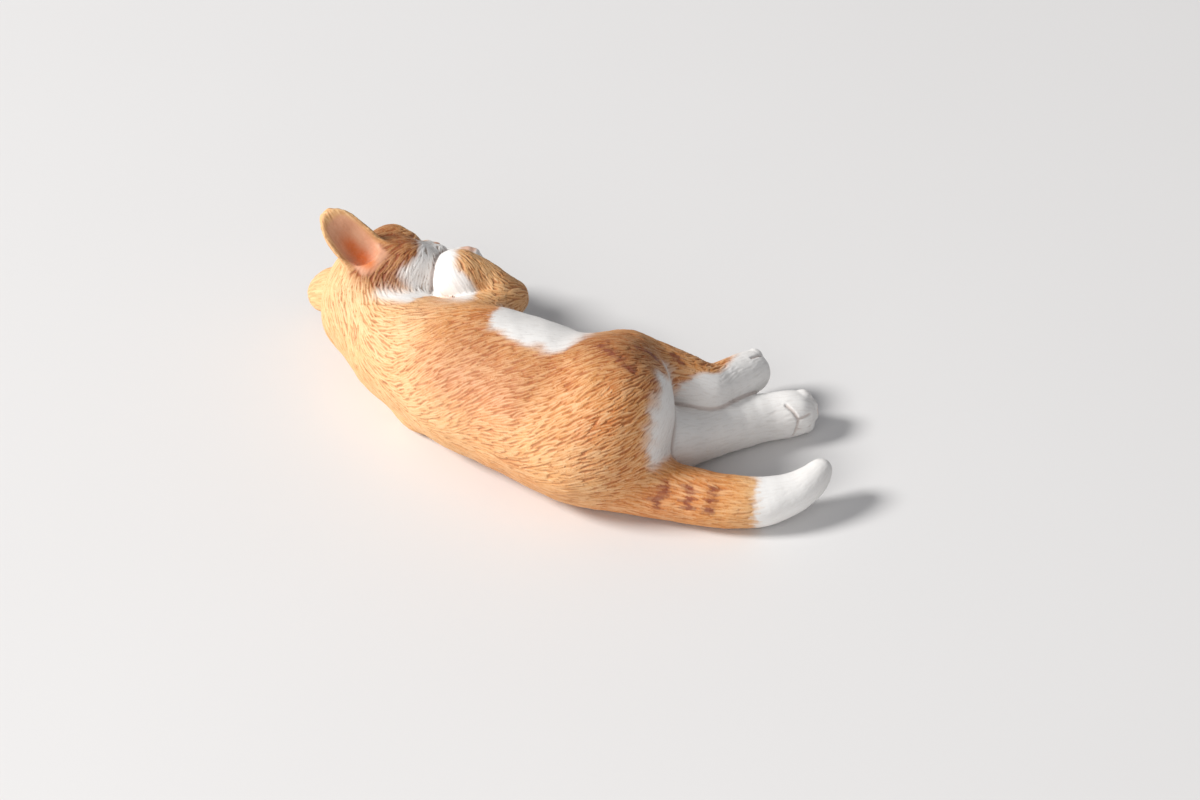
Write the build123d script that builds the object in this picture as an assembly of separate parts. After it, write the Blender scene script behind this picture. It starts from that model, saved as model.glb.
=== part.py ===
"""Ceramic cat figurine: a cat asleep on its left side, head tucked, right forepaw on its cheek.

Millimetres, +Z up, +X towards the hind feet and tail tip, +Y towards the belly.
The origin is on the table, under the middle of the figurine's bounding box.

The figurine is made as a pottery figure is: a hollow body shell with a vent in its underside,
and a head, ears, legs and a tail, each a piece of its own with a locating stub that is
luted into a round seat before firing.
"""

from build123d import *
import math
import os

# ---------------------------------------------------------------- driving dimensions
WALL = 3.5            # wall of the hollow body shell
HEAD_WALL = 3.4       # wall of the hollow head
VENT_DIAMETER = 6.0   # vent hole in the underside of the body shell
VENT_XY = (4.0, -17.0)

STUB_GAP = 0.10       # slip layer around a locating stub, on the radius
NECK_STUB_DIAMETER = 11.0
NECK_BORE_DIAMETER = 6.0
LEG_STUB_DIAMETER = 6.0
TAIL_STUB_DIAMETER = 6.0
ARM_STUB_DIAMETER = 4.4
EAR_STUB_DIAMETER = 2.4
STUB_DEPTH = 2.6      # how far a stub reaches below the seat
EAR_STUB_DEPTH = 2.0

# ---------------------------------------------------------------- section tables
# Each row is one cross-section of a piece: its centre, the direction of its first spoke,
# its plane's normal, and the lengths of its evenly spaced spokes.
BODY_SECTIONS = [
    ((34.80, -14.05, 11.25), (0.1138, -0.0132, 0.9934), (-0.9868, 0.1146, 0.1146),
     (2.62, 2.41, 2.25, 2.11, 1.95, 1.80, 1.71, 1.70, 1.81, 2.05, 2.47, 3.02, 3.49, 3.56, 3.28, 2.91)),
    ((33.67, -13.92, 11.38), (0.1138, -0.0132, 0.9934), (-0.9868, 0.1146, 0.1146),
     (6.07, 5.97, 6.06, 6.18, 6.12, 5.83, 5.48, 5.27, 5.30, 5.62, 6.24, 7.00, 7.54, 7.46, 6.94, 6.41)),
    ((31.07, -13.61, 11.68), (0.1138, -0.0132, 0.9934), (-0.9868, 0.1146, 0.1146),
     (9.74, 9.77, 10.12, 10.55, 10.66, 10.25, 9.61, 9.14, 9.06, 9.42, 10.21, 11.19, 11.79, 11.58, 10.83, 10.11)),
    ((26.88, -13.13, 12.17), (0.1138, -0.0132, 0.9934), (-0.9868, 0.1146, 0.1146),
     (12.86, 13.02, 13.62, 14.33, 14.60, 14.10, 13.22, 12.52, 12.31, 12.68, 13.58, 14.67, 15.31, 14.99, 14.08, 13.24)),
    ((19.71, -12.30, 13.00), (0.1154, -0.0134, 0.9932), (-0.9865, 0.1156, 0.1161),
     (15.14, 15.42, 16.25, 17.22, 17.64, 17.10, 16.03, 15.15, 14.82, 15.17, 16.09, 17.21, 17.80, 17.40, 16.39, 15.49)),
    ((13.78, -11.55, 13.77), (0.1029, -0.0121, 0.9946), (-0.9888, 0.1070, 0.1036),
     (15.28, 15.60, 16.51, 17.61, 18.17, 17.74, 16.73, 15.87, 15.56, 15.90, 16.81, 17.86, 18.32, 17.75, 16.61, 15.65)),
    ((7.78, -11.08, 14.13), (0.0311, -0.0074, 0.9995), (-0.9974, 0.0653, 0.0316),
     (15.28, 15.63, 16.60, 17.78, 18.40, 17.97, 16.92, 16.00, 15.65, 15.97, 16.85, 17.90, 18.34, 17.75, 16.59, 15.63)),
    ((1.75, -10.75, 14.24), (0.0051, -0.0063, 1.0000), (-0.9992, 0.0399, 0.0054),
     (15.10, 15.50, 16.53, 17.80, 18.45, 17.95, 16.78, 15.79, 15.41, 15.73, 16.62, 17.65, 18.10, 17.52, 16.37, 15.43)),
    ((-4.27, -10.66, 14.18), (-0.0306, -0.0074, 0.9995), (-0.9990, -0.0309, -0.0308),
     (14.98, 15.33, 16.33, 17.61, 18.29, 17.72, 16.56, 15.65, 15.34, 15.69, 16.56, 17.56, 17.97, 17.39, 16.27, 15.33)),
    ((-10.28, -11.14, 13.86), (-0.0676, -0.0111, 0.9977), (-0.9928, -0.0985, -0.0683),
     (15.09, 15.51, 16.49, 17.65, 18.20, 17.64, 16.51, 15.57, 15.19, 15.46, 16.22, 17.12, 17.52, 17.05, 16.10, 15.33)),
    ((-16.28, -11.46, 13.43), (-0.0659, -0.0112, 0.9978), (-0.9973, 0.0318, -0.0655),
     (14.63, 15.10, 16.07, 17.17, 17.65, 17.08, 15.94, 14.95, 14.47, 14.57, 15.14, 15.87, 16.23, 15.95, 15.28, 14.73)),
    ((-22.25, -10.80, 12.96), (-0.0849, -0.0078, 0.9964), (-0.9817, 0.1717, -0.0823),
     (13.69, 14.17, 15.01, 15.92, 16.33, 15.86, 14.90, 14.03, 13.53, 13.45, 13.73, 14.17, 14.44, 14.30, 13.91, 13.64)),
    ((-28.11, -9.46, 12.61), (-0.0271, -0.0240, 0.9993), (-0.9634, 0.2675, -0.0197),
     (13.06, 13.38, 13.92, 14.48, 14.67, 14.30, 13.71, 13.21, 12.92, 12.86, 12.96, 13.14, 13.26, 13.23, 13.09, 12.99)),
    ((-33.78, -7.41, 12.79), (0.0473, -0.0563, 0.9973), (-0.9157, 0.3964, 0.0658),
     (12.19, 12.38, 12.70, 13.01, 13.10, 12.91, 12.62, 12.40, 12.30, 12.29, 12.33, 12.36, 12.34, 12.27, 12.19, 12.14)),
    ((-39.29, -5.00, 13.20), (0.0379, -0.0524, 0.9979), (-0.9237, 0.3791, 0.0550),
     (11.45, 11.44, 11.42, 11.39, 11.33, 11.24, 11.16, 11.12, 11.13, 11.18, 11.25, 11.32, 11.38, 11.41, 11.44, 11.45)),
]

HEAD_SECTIONS = [
    ((-43.70, 7.95, 4.49), (0.1793, 0.9668, 0.1823), (0.2194, -0.2199, 0.9505),
     (1.42, 1.13, 0.93, 0.80, 0.72, 0.67, 0.66, 0.67, 0.70, 0.76, 0.85, 0.95, 1.07, 1.20, 1.35, 1.51, 1.71, 1.95, 2.19, 2.38, 2.46, 2.40, 2.15, 1.79)),
    ((-43.60, 7.85, 4.92), (0.1793, 0.9668, 0.1823), (0.2194, -0.2199, 0.9505),
     (3.29, 2.98, 2.74, 2.58, 2.51, 2.52, 2.63, 2.81, 3.04, 3.27, 3.39, 3.37, 3.29, 3.22, 3.21, 3.27, 3.42, 3.62, 3.85, 4.05, 4.18, 4.15, 3.95, 3.64)),
    ((-43.37, 7.62, 5.92), (0.1793, 0.9668, 0.1823), (0.2194, -0.2199, 0.9505),
     (5.20, 4.89, 4.67, 4.57, 4.61, 4.82, 5.25, 5.90, 6.74, 7.47, 7.63, 7.08, 6.30, 5.70, 5.37, 5.25, 5.30, 5.47, 5.69, 5.89, 6.03, 6.01, 5.83, 5.53)),
    ((-43.00, 7.25, 7.52), (0.1793, 0.9668, 0.1823), (0.2194, -0.2199, 0.9505),
     (6.82, 6.56, 6.62, 7.19, 7.78, 7.84, 8.27, 9.39, 10.38, 11.06, 11.27, 10.88, 9.88, 8.52, 7.60, 7.14, 7.01, 7.09, 7.26, 7.45, 7.57, 7.55, 7.39, 7.12)),
    ((-42.37, 6.62, 10.26), (0.1793, 0.9668, 0.1823), (0.2194, -0.2199, 0.9505),
     (8.68, 8.55, 9.82, 11.68, 12.07, 11.47, 11.40, 12.37, 13.29, 13.96, 14.22, 13.94, 13.08, 11.77, 10.27, 9.17, 8.63, 8.46, 8.49, 8.60, 8.68, 8.72, 8.87, 8.96)),
    ((-41.60, 5.85, 13.59), (0.1793, 0.9668, 0.1823), (0.2194, -0.2199, 0.9505),
     (12.02, 10.66, 10.99, 12.54, 12.95, 12.67, 13.07, 14.08, 14.99, 15.66, 15.95, 15.71, 14.91, 13.64, 12.15, 10.69, 9.60, 9.02, 8.75, 8.66, 8.80, 9.43, 10.81, 12.72)),
    ((-40.83, 5.08, 16.92), (0.1793, 0.9668, 0.1823), (0.2194, -0.2199, 0.9505),
     (13.02, 13.51, 11.62, 11.86, 12.44, 12.66, 13.59, 14.60, 15.50, 16.17, 16.47, 16.25, 15.45, 14.20, 12.71, 11.24, 9.96, 9.02, 8.53, 8.33, 8.66, 11.17, 12.64, 12.51)),
    ((-40.06, 4.31, 20.24), (0.1793, 0.9668, 0.1823), (0.2194, -0.2199, 0.9505),
     (12.02, 10.66, 10.99, 12.53, 12.95, 12.67, 13.07, 14.08, 14.99, 15.66, 15.95, 15.71, 14.91, 13.64, 12.15, 10.69, 9.60, 9.02, 8.75, 8.66, 8.79, 9.41, 10.80, 12.72)),
    ((-39.29, 3.54, 23.57), (0.1793, 0.9668, 0.1823), (0.2194, -0.2199, 0.9505),
     (8.68, 8.55, 9.82, 11.68, 12.07, 11.47, 11.40, 12.37, 13.29, 13.96, 14.22, 13.94, 13.08, 11.77, 10.27, 9.17, 8.63, 8.46, 8.49, 8.60, 8.68, 8.72, 8.87, 8.96)),
    ((-38.66, 2.90, 26.32), (0.1793, 0.9668, 0.1823), (0.2194, -0.2199, 0.9505),
     (6.82, 6.56, 6.62, 7.19, 7.78, 7.84, 8.27, 9.39, 10.38, 11.06, 11.27, 10.88, 9.88, 8.52, 7.60, 7.14, 7.01, 7.09, 7.26, 7.45, 7.57, 7.55, 7.39, 7.12)),
    ((-38.29, 2.53, 27.92), (0.1793, 0.9668, 0.1823), (0.2194, -0.2199, 0.9505),
     (5.20, 4.89, 4.67, 4.57, 4.61, 4.82, 5.25, 5.90, 6.74, 7.47, 7.63, 7.08, 6.30, 5.70, 5.37, 5.25, 5.30, 5.47, 5.69, 5.89, 6.03, 6.01, 5.83, 5.53)),
    ((-38.06, 2.30, 28.91), (0.1793, 0.9668, 0.1823), (0.2194, -0.2199, 0.9505),
     (3.29, 2.98, 2.74, 2.58, 2.51, 2.52, 2.63, 2.81, 3.04, 3.27, 3.39, 3.37, 3.29, 3.22, 3.21, 3.27, 3.42, 3.62, 3.85, 4.05, 4.18, 4.15, 3.95, 3.64)),
    ((-37.96, 2.20, 29.35), (0.1793, 0.9668, 0.1823), (0.2194, -0.2199, 0.9505),
     (1.42, 1.13, 0.93, 0.80, 0.72, 0.67, 0.66, 0.67, 0.70, 0.76, 0.85, 0.95, 1.07, 1.20, 1.35, 1.51, 1.71, 1.95, 2.19, 2.38, 2.46, 2.40, 2.15, 1.79)),
]

RIGHT_EAR_SECTIONS = [
    ((-46.97, 0.80, 19.72), (0.8756, -0.4055, 0.2625), (-0.3459, -0.1469, 0.9267),
     (0.50, 0.54, 0.67, 0.78, 0.67, 0.54, 0.50, 0.54, 0.67, 0.78, 0.67, 0.54)),
    ((-47.18, 0.71, 20.29), (0.8756, -0.4055, 0.2625), (-0.3459, -0.1469, 0.9267),
     (1.31, 1.42, 1.75, 2.04, 1.75, 1.42, 1.31, 1.42, 1.75, 2.04, 1.75, 1.42)),
    ((-47.67, 0.50, 21.60), (0.8756, -0.4055, 0.2625), (-0.3459, -0.1469, 0.9267),
     (2.17, 2.35, 2.90, 3.38, 2.90, 2.35, 2.17, 2.35, 2.90, 3.38, 2.90, 2.35)),
    ((-48.46, 0.17, 23.71), (0.8756, -0.4055, 0.2625), (-0.3459, -0.1469, 0.9267),
     (2.89, 3.13, 3.87, 4.51, 3.87, 3.13, 2.89, 3.13, 3.87, 4.51, 3.87, 3.13)),
    ((-49.81, -0.40, 27.32), (0.8756, -0.4055, 0.2625), (-0.3459, -0.1469, 0.9267),
     (3.38, 3.66, 4.52, 5.27, 4.52, 3.66, 3.38, 3.66, 4.52, 5.27, 4.52, 3.66)),
    ((-50.15, -0.55, 28.25), (0.8756, -0.4055, 0.2625), (-0.3459, -0.1469, 0.9267),
     (3.40, 3.68, 4.55, 5.30, 4.55, 3.68, 3.40, 3.68, 4.55, 5.30, 4.55, 3.68)),
    ((-50.50, -0.70, 29.17), (0.8756, -0.4055, 0.2625), (-0.3459, -0.1469, 0.9267),
     (3.38, 3.66, 4.52, 5.27, 4.52, 3.66, 3.38, 3.66, 4.52, 5.27, 4.52, 3.66)),
    ((-51.85, -1.27, 32.79), (0.8756, -0.4055, 0.2625), (-0.3459, -0.1469, 0.9267),
     (2.89, 3.13, 3.87, 4.51, 3.87, 3.13, 2.89, 3.13, 3.87, 4.51, 3.87, 3.13)),
    ((-52.63, -1.60, 34.89), (0.8756, -0.4055, 0.2625), (-0.3459, -0.1469, 0.9267),
     (2.17, 2.35, 2.90, 3.38, 2.90, 2.35, 2.17, 2.35, 2.90, 3.38, 2.90, 2.35)),
    ((-53.12, -1.81, 36.20), (0.8756, -0.4055, 0.2625), (-0.3459, -0.1469, 0.9267),
     (1.31, 1.42, 1.75, 2.04, 1.75, 1.42, 1.31, 1.42, 1.75, 2.04, 1.75, 1.42)),
    ((-53.34, -1.90, 36.77), (0.8756, -0.4055, 0.2625), (-0.3459, -0.1469, 0.9267),
     (0.50, 0.54, 0.67, 0.78, 0.67, 0.54, 0.50, 0.54, 0.67, 0.78, 0.67, 0.54)),
]

RIGHT_EAR_HOLLOW = [
    ((-45.06, -0.72, 22.44), (0.8756, -0.4055, 0.2625), (-0.3459, -0.1469, 0.9267),
     (0.47, 0.50, 0.57, 0.61, 0.57, 0.50, 0.47, 0.50, 0.57, 0.61, 0.57, 0.50)),
    ((-45.24, -0.79, 22.90), (0.8756, -0.4055, 0.2625), (-0.3459, -0.1469, 0.9267),
     (1.26, 1.32, 1.49, 1.60, 1.49, 1.32, 1.26, 1.32, 1.49, 1.60, 1.49, 1.32)),
    ((-45.63, -0.96, 23.95), (0.8756, -0.4055, 0.2625), (-0.3459, -0.1469, 0.9267),
     (2.08, 2.19, 2.46, 2.65, 2.46, 2.19, 2.08, 2.19, 2.46, 2.65, 2.46, 2.19)),
    ((-46.27, -1.23, 25.65), (0.8756, -0.4055, 0.2625), (-0.3459, -0.1469, 0.9267),
     (2.78, 2.92, 3.29, 3.54, 3.29, 2.92, 2.78, 2.92, 3.29, 3.54, 3.29, 2.92)),
    ((-47.35, -1.69, 28.57), (0.8756, -0.4055, 0.2625), (-0.3459, -0.1469, 0.9267),
     (3.27, 3.44, 3.88, 4.16, 3.88, 3.44, 3.27, 3.44, 3.88, 4.16, 3.88, 3.44)),
    ((-47.70, -1.84, 29.50), (0.8756, -0.4055, 0.2625), (-0.3459, -0.1469, 0.9267),
     (3.30, 3.47, 3.91, 4.20, 3.91, 3.47, 3.30, 3.47, 3.91, 4.20, 3.91, 3.47)),
    ((-48.05, -1.99, 30.42), (0.8756, -0.4055, 0.2625), (-0.3459, -0.1469, 0.9267),
     (3.27, 3.44, 3.88, 4.16, 3.88, 3.44, 3.27, 3.44, 3.88, 4.16, 3.88, 3.44)),
    ((-49.13, -2.45, 33.34), (0.8756, -0.4055, 0.2625), (-0.3459, -0.1469, 0.9267),
     (2.78, 2.92, 3.29, 3.54, 3.29, 2.92, 2.78, 2.92, 3.29, 3.54, 3.29, 2.92)),
    ((-49.77, -2.72, 35.04), (0.8756, -0.4055, 0.2625), (-0.3459, -0.1469, 0.9267),
     (2.08, 2.19, 2.46, 2.65, 2.46, 2.19, 2.08, 2.19, 2.46, 2.65, 2.46, 2.19)),
    ((-50.16, -2.89, 36.10), (0.8756, -0.4055, 0.2625), (-0.3459, -0.1469, 0.9267),
     (1.26, 1.32, 1.49, 1.60, 1.49, 1.32, 1.26, 1.32, 1.49, 1.60, 1.49, 1.32)),
    ((-50.34, -2.96, 36.56), (0.8756, -0.4055, 0.2625), (-0.3459, -0.1469, 0.9267),
     (0.47, 0.50, 0.57, 0.61, 0.57, 0.50, 0.47, 0.50, 0.57, 0.61, 0.57, 0.50)),
]

LEFT_EAR_SECTIONS = [
    ((-51.62, 4.62, 12.00), (-0.3422, -0.0106, 0.9396), (-0.9391, -0.0291, -0.3424),
     (0.52, 0.70, 0.80, 0.62, 0.49, 0.46, 0.52, 0.70, 0.80, 0.62, 0.49, 0.46)),
    ((-52.07, 4.61, 11.84), (-0.3422, -0.0106, 0.9396), (-0.9391, -0.0291, -0.3424),
     (1.39, 1.84, 2.10, 1.62, 1.29, 1.22, 1.39, 1.84, 2.10, 1.62, 1.29, 1.22)),
    ((-53.09, 4.58, 11.47), (-0.3422, -0.0106, 0.9396), (-0.9391, -0.0291, -0.3424),
     (2.30, 3.04, 3.48, 2.68, 2.13, 2.02, 2.30, 3.04, 3.48, 2.68, 2.13, 2.02)),
    ((-54.73, 4.53, 10.87), (-0.3422, -0.0106, 0.9396), (-0.9391, -0.0291, -0.3424),
     (3.08, 4.07, 4.65, 3.59, 2.85, 2.70, 3.08, 4.07, 4.65, 3.59, 2.85, 2.70)),
    ((-57.54, 4.44, 9.84), (-0.3422, -0.0106, 0.9396), (-0.9391, -0.0291, -0.3424),
     (3.62, 4.80, 5.48, 4.23, 3.36, 3.18, 3.62, 4.80, 5.48, 4.23, 3.36, 3.18)),
    ((-58.48, 4.41, 9.50), (-0.3422, -0.0106, 0.9396), (-0.9391, -0.0291, -0.3424),
     (3.66, 4.85, 5.53, 4.27, 3.39, 3.21, 3.66, 4.85, 5.53, 4.27, 3.39, 3.21)),
    ((-59.42, 4.38, 9.16), (-0.3422, -0.0106, 0.9396), (-0.9391, -0.0291, -0.3424),
     (3.62, 4.80, 5.48, 4.23, 3.36, 3.18, 3.62, 4.80, 5.48, 4.23, 3.36, 3.18)),
    ((-62.23, 4.29, 8.13), (-0.3422, -0.0106, 0.9396), (-0.9391, -0.0291, -0.3424),
     (3.08, 4.07, 4.65, 3.59, 2.85, 2.70, 3.08, 4.07, 4.65, 3.59, 2.85, 2.70)),
    ((-63.87, 4.24, 7.53), (-0.3422, -0.0106, 0.9396), (-0.9391, -0.0291, -0.3424),
     (2.30, 3.04, 3.48, 2.68, 2.13, 2.02, 2.30, 3.04, 3.48, 2.68, 2.13, 2.02)),
    ((-64.89, 4.21, 7.16), (-0.3422, -0.0106, 0.9396), (-0.9391, -0.0291, -0.3424),
     (1.39, 1.84, 2.10, 1.62, 1.29, 1.22, 1.39, 1.84, 2.10, 1.62, 1.29, 1.22)),
    ((-65.34, 4.20, 7.00), (-0.3422, -0.0106, 0.9396), (-0.9391, -0.0291, -0.3424),
     (0.52, 0.70, 0.80, 0.62, 0.49, 0.46, 0.52, 0.70, 0.80, 0.62, 0.49, 0.46)),
]

RIGHT_UPPER_ARM = [
    ((-25.99, -16.26, 15.67), (-0.0660, -0.1542, 0.9858), (0.3878, 0.9063, 0.1677),
     (1.25, 1.25, 1.25, 1.25, 1.25, 1.25, 1.25, 1.25, 1.25, 1.25, 1.25, 1.25)),
    ((-25.76, -15.72, 15.77), (-0.0660, -0.1542, 0.9858), (0.3878, 0.9063, 0.1677),
     (3.25, 3.25, 3.25, 3.25, 3.25, 3.25, 3.25, 3.25, 3.25, 3.25, 3.25, 3.25)),
    ((-25.23, -14.49, 16.00), (-0.0660, -0.1542, 0.9858), (0.3878, 0.9063, 0.1677),
     (5.35, 5.35, 5.35, 5.35, 5.35, 5.35, 5.35, 5.35, 5.35, 5.35, 5.35, 5.35)),
    ((-24.38, -12.50, 16.37), (-0.0660, -0.1542, 0.9858), (0.3878, 0.9063, 0.1677),
     (7.06, 7.06, 7.06, 7.06, 7.06, 7.06, 7.06, 7.06, 7.06, 7.06, 7.06, 7.06)),
    ((-22.92, -9.10, 17.00), (-0.0664, -0.1553, 0.9856), (0.3884, 0.9059, 0.1689),
     (7.98, 7.98, 7.98, 7.99, 8.00, 8.00, 8.00, 8.00, 8.00, 8.00, 8.00, 7.99)),
    ((-20.76, -4.15, 18.00), (-0.0683, -0.1596, 0.9848), (0.3908, 0.9040, 0.1736),
     (7.12, 7.12, 7.12, 7.13, 7.13, 7.14, 7.15, 7.15, 7.15, 7.15, 7.14, 7.13)),
    ((-18.80, 0.94, 18.60), (-0.0224, -0.0166, 0.9996), (0.3067, 0.9515, 0.0227),
     (5.98, 5.98, 5.98, 6.00, 6.03, 6.06, 6.08, 6.09, 6.08, 6.06, 6.03, 6.01)),
    ((-17.23, 6.20, 18.50), (-0.0124, 0.0157, 0.9998), (0.2969, 0.9548, -0.0113),
     (4.92, 4.92, 4.92, 4.92, 4.90, 4.89, 4.88, 4.88, 4.88, 4.88, 4.89, 4.91)),
    ((-15.47, 11.41, 18.50), (-0.0159, 0.0054, 0.9999), (0.3226, 0.9465, 0.0000),
     (3.48, 3.48, 3.49, 3.49, 3.49, 3.48, 3.48, 3.48, 3.48, 3.48, 3.48, 3.48)),
    ((-14.95, 12.95, 18.50), (-0.0159, 0.0054, 0.9999), (0.3216, 0.9469, 0.0000),
     (2.90, 2.90, 2.91, 2.91, 2.91, 2.90, 2.90, 2.90, 2.89, 2.89, 2.89, 2.90)),
    ((-14.64, 13.85, 18.50), (-0.0159, 0.0054, 0.9999), (0.3216, 0.9469, 0.0000),
     (2.22, 2.22, 2.22, 2.23, 2.22, 2.22, 2.22, 2.21, 2.21, 2.21, 2.21, 2.21)),
    ((-14.45, 14.42, 18.50), (-0.0159, 0.0054, 0.9999), (0.3216, 0.9469, 0.0000),
     (1.35, 1.36, 1.36, 1.36, 1.36, 1.36, 1.35, 1.35, 1.35, 1.34, 1.35, 1.35)),
    ((-14.37, 14.66, 18.50), (-0.0159, 0.0054, 0.9999), (0.3216, 0.9469, 0.0000),
     (0.51, 0.52, 0.52, 0.52, 0.52, 0.52, 0.51, 0.51, 0.51, 0.51, 0.51, 0.51)),
]

RIGHT_FOREARM = [
    ((-14.10, 14.99, 17.68), (0.2762, 0.2433, 0.9298), (-0.6977, -0.6145, 0.3681),
     (0.56, 0.57, 0.57, 0.55, 0.52, 0.49, 0.46, 0.43, 0.42, 0.41, 0.41, 0.42, 0.44, 0.47, 0.50, 0.53)),
    ((-14.27, 14.84, 17.77), (0.2762, 0.2433, 0.9298), (-0.6977, -0.6145, 0.3681),
     (1.34, 1.35, 1.34, 1.33, 1.30, 1.27, 1.24, 1.21, 1.19, 1.18, 1.18, 1.20, 1.22, 1.25, 1.28, 1.31)),
    ((-14.67, 14.49, 17.98), (0.2762, 0.2433, 0.9298), (-0.6977, -0.6145, 0.3681),
     (2.14, 2.15, 2.14, 2.13, 2.10, 2.07, 2.04, 2.01, 1.99, 1.98, 1.98, 2.00, 2.02, 2.05, 2.08, 2.11)),
    ((-15.31, 13.92, 18.32), (0.2762, 0.2433, 0.9298), (-0.6977, -0.6145, 0.3681),
     (2.78, 2.78, 2.78, 2.76, 2.74, 2.71, 2.68, 2.66, 2.64, 2.64, 2.64, 2.66, 2.69, 2.71, 2.74, 2.76)),
    ((-16.41, 12.95, 18.90), (0.2786, 0.2455, 0.9285), (-0.6798, -0.6325, 0.3712),
     (3.37, 3.36, 3.34, 3.32, 3.30, 3.28, 3.28, 3.27, 3.28, 3.30, 3.32, 3.34, 3.36, 3.37, 3.38, 3.38)),
    ((-18.47, 11.04, 20.02), (0.2584, 0.2331, 0.9375), (-0.8004, -0.4918, 0.3428),
     (4.24, 4.32, 4.48, 4.67, 4.80, 4.76, 4.59, 4.40, 4.28, 4.22, 4.18, 4.16, 4.15, 4.15, 4.16, 4.19)),
    ((-21.28, 10.42, 20.88), (0.2133, 0.2291, 0.9498), (-0.9668, -0.0907, 0.2390),
     (4.95, 4.91, 4.90, 4.90, 4.90, 4.92, 4.95, 4.99, 5.06, 5.22, 5.48, 5.67, 5.64, 5.43, 5.21, 5.03)),
    ((-24.09, 9.56, 21.53), (0.1031, 0.1632, 0.9812), (-0.8422, -0.5106, 0.1734),
     (5.92, 5.86, 5.84, 5.84, 5.87, 5.91, 5.94, 5.96, 5.97, 5.98, 6.00, 6.03, 6.06, 6.07, 6.04, 5.99)),
    ((-26.55, 7.84, 22.00), (0.0901, 0.1544, 0.9839), (-0.8193, -0.5502, 0.1614),
     (6.77, 6.83, 6.92, 7.03, 7.11, 7.14, 7.10, 7.02, 6.92, 6.82, 6.75, 6.71, 6.69, 6.70, 6.71, 6.73)),
    ((-29.03, 6.22, 22.49), (0.0937, 0.1568, 0.9832), (-0.8259, -0.5392, 0.1648),
     (6.41, 6.50, 6.58, 6.62, 6.60, 6.52, 6.41, 6.31, 6.23, 6.18, 6.16, 6.16, 6.17, 6.21, 6.26, 6.32)),
    ((-30.47, 5.28, 22.78), (0.0937, 0.1568, 0.9832), (-0.8259, -0.5392, 0.1648),
     (5.13, 5.19, 5.20, 5.15, 5.04, 4.91, 4.78, 4.67, 4.62, 4.61, 4.64, 4.71, 4.79, 4.88, 4.97, 5.06)),
    ((-31.37, 4.69, 22.96), (0.0937, 0.1568, 0.9832), (-0.8259, -0.5392, 0.1648),
     (3.35, 3.36, 3.31, 3.21, 3.06, 2.91, 2.78, 2.69, 2.65, 2.66, 2.72, 2.82, 2.94, 3.06, 3.19, 3.28)),
    ((-31.76, 4.43, 23.04), (0.0937, 0.1568, 0.9832), (-0.8259, -0.5392, 0.1648),
     (1.59, 1.58, 1.49, 1.35, 1.18, 1.03, 0.92, 0.85, 0.82, 0.84, 0.89, 0.99, 1.12, 1.27, 1.42, 1.53)),
]

RIGHT_FOREPAW = [
    ((-27.86, 8.35, 21.20), (0.8120, 0.5815, -0.0501), (-0.5371, 0.7109, -0.4541),
     (0.76, 0.76, 0.76, 0.76, 0.76, 0.76, 0.76, 0.76, 0.76, 0.76, 0.76, 0.76)),
    ((-28.06, 8.60, 21.03), (0.8120, 0.5815, -0.0501), (-0.5371, 0.7109, -0.4541),
     (1.99, 1.99, 1.99, 1.99, 1.99, 1.99, 1.99, 1.99, 1.99, 1.99, 1.99, 1.99)),
    ((-28.50, 9.20, 20.65), (0.8120, 0.5815, -0.0501), (-0.5371, 0.7109, -0.4541),
     (3.28, 3.28, 3.28, 3.28, 3.28, 3.28, 3.28, 3.28, 3.28, 3.28, 3.28, 3.28)),
    ((-29.22, 10.15, 20.04), (0.8120, 0.5815, -0.0501), (-0.5371, 0.7109, -0.4541),
     (4.33, 4.33, 4.33, 4.33, 4.33, 4.33, 4.33, 4.33, 4.33, 4.33, 4.33, 4.33)),
    ((-30.46, 11.79, 19.00), (0.8121, 0.5814, -0.0501), (-0.5371, 0.7111, -0.4536),
     (4.90, 4.90, 4.90, 4.90, 4.90, 4.90, 4.90, 4.90, 4.90, 4.90, 4.90, 4.90)),
    ((-34.43, 17.04, 15.64), (0.8104, 0.5836, -0.0515), (-0.5351, 0.7015, -0.4707),
     (4.86, 4.86, 4.86, 4.86, 4.86, 4.86, 4.86, 4.86, 4.86, 4.86, 4.86, 4.86)),
    ((-38.36, 22.13, 12.00), (0.8080, 0.5867, -0.0537), (-0.5317, 0.6870, -0.4953),
     (4.21, 4.21, 4.21, 4.21, 4.21, 4.21, 4.21, 4.21, 4.21, 4.21, 4.21, 4.21)),
    ((-39.41, 23.48, 11.02), (0.8081, 0.5866, -0.0537), (-0.5318, 0.6874, -0.4947),
     (3.71, 3.71, 3.71, 3.71, 3.71, 3.71, 3.71, 3.71, 3.71, 3.71, 3.71, 3.71)),
    ((-40.02, 24.27, 10.46), (0.8081, 0.5866, -0.0537), (-0.5318, 0.6874, -0.4947),
     (2.81, 2.81, 2.81, 2.81, 2.81, 2.81, 2.81, 2.81, 2.81, 2.81, 2.81, 2.81)),
    ((-40.40, 24.77, 10.10), (0.8081, 0.5866, -0.0537), (-0.5318, 0.6874, -0.4947),
     (1.71, 1.71, 1.71, 1.71, 1.71, 1.71, 1.71, 1.71, 1.71, 1.71, 1.71, 1.71)),
    ((-40.57, 24.98, 9.95), (0.8081, 0.5866, -0.0537), (-0.5318, 0.6874, -0.4947),
     (0.65, 0.65, 0.65, 0.65, 0.65, 0.65, 0.65, 0.65, 0.65, 0.65, 0.65, 0.65)),
]

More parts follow.
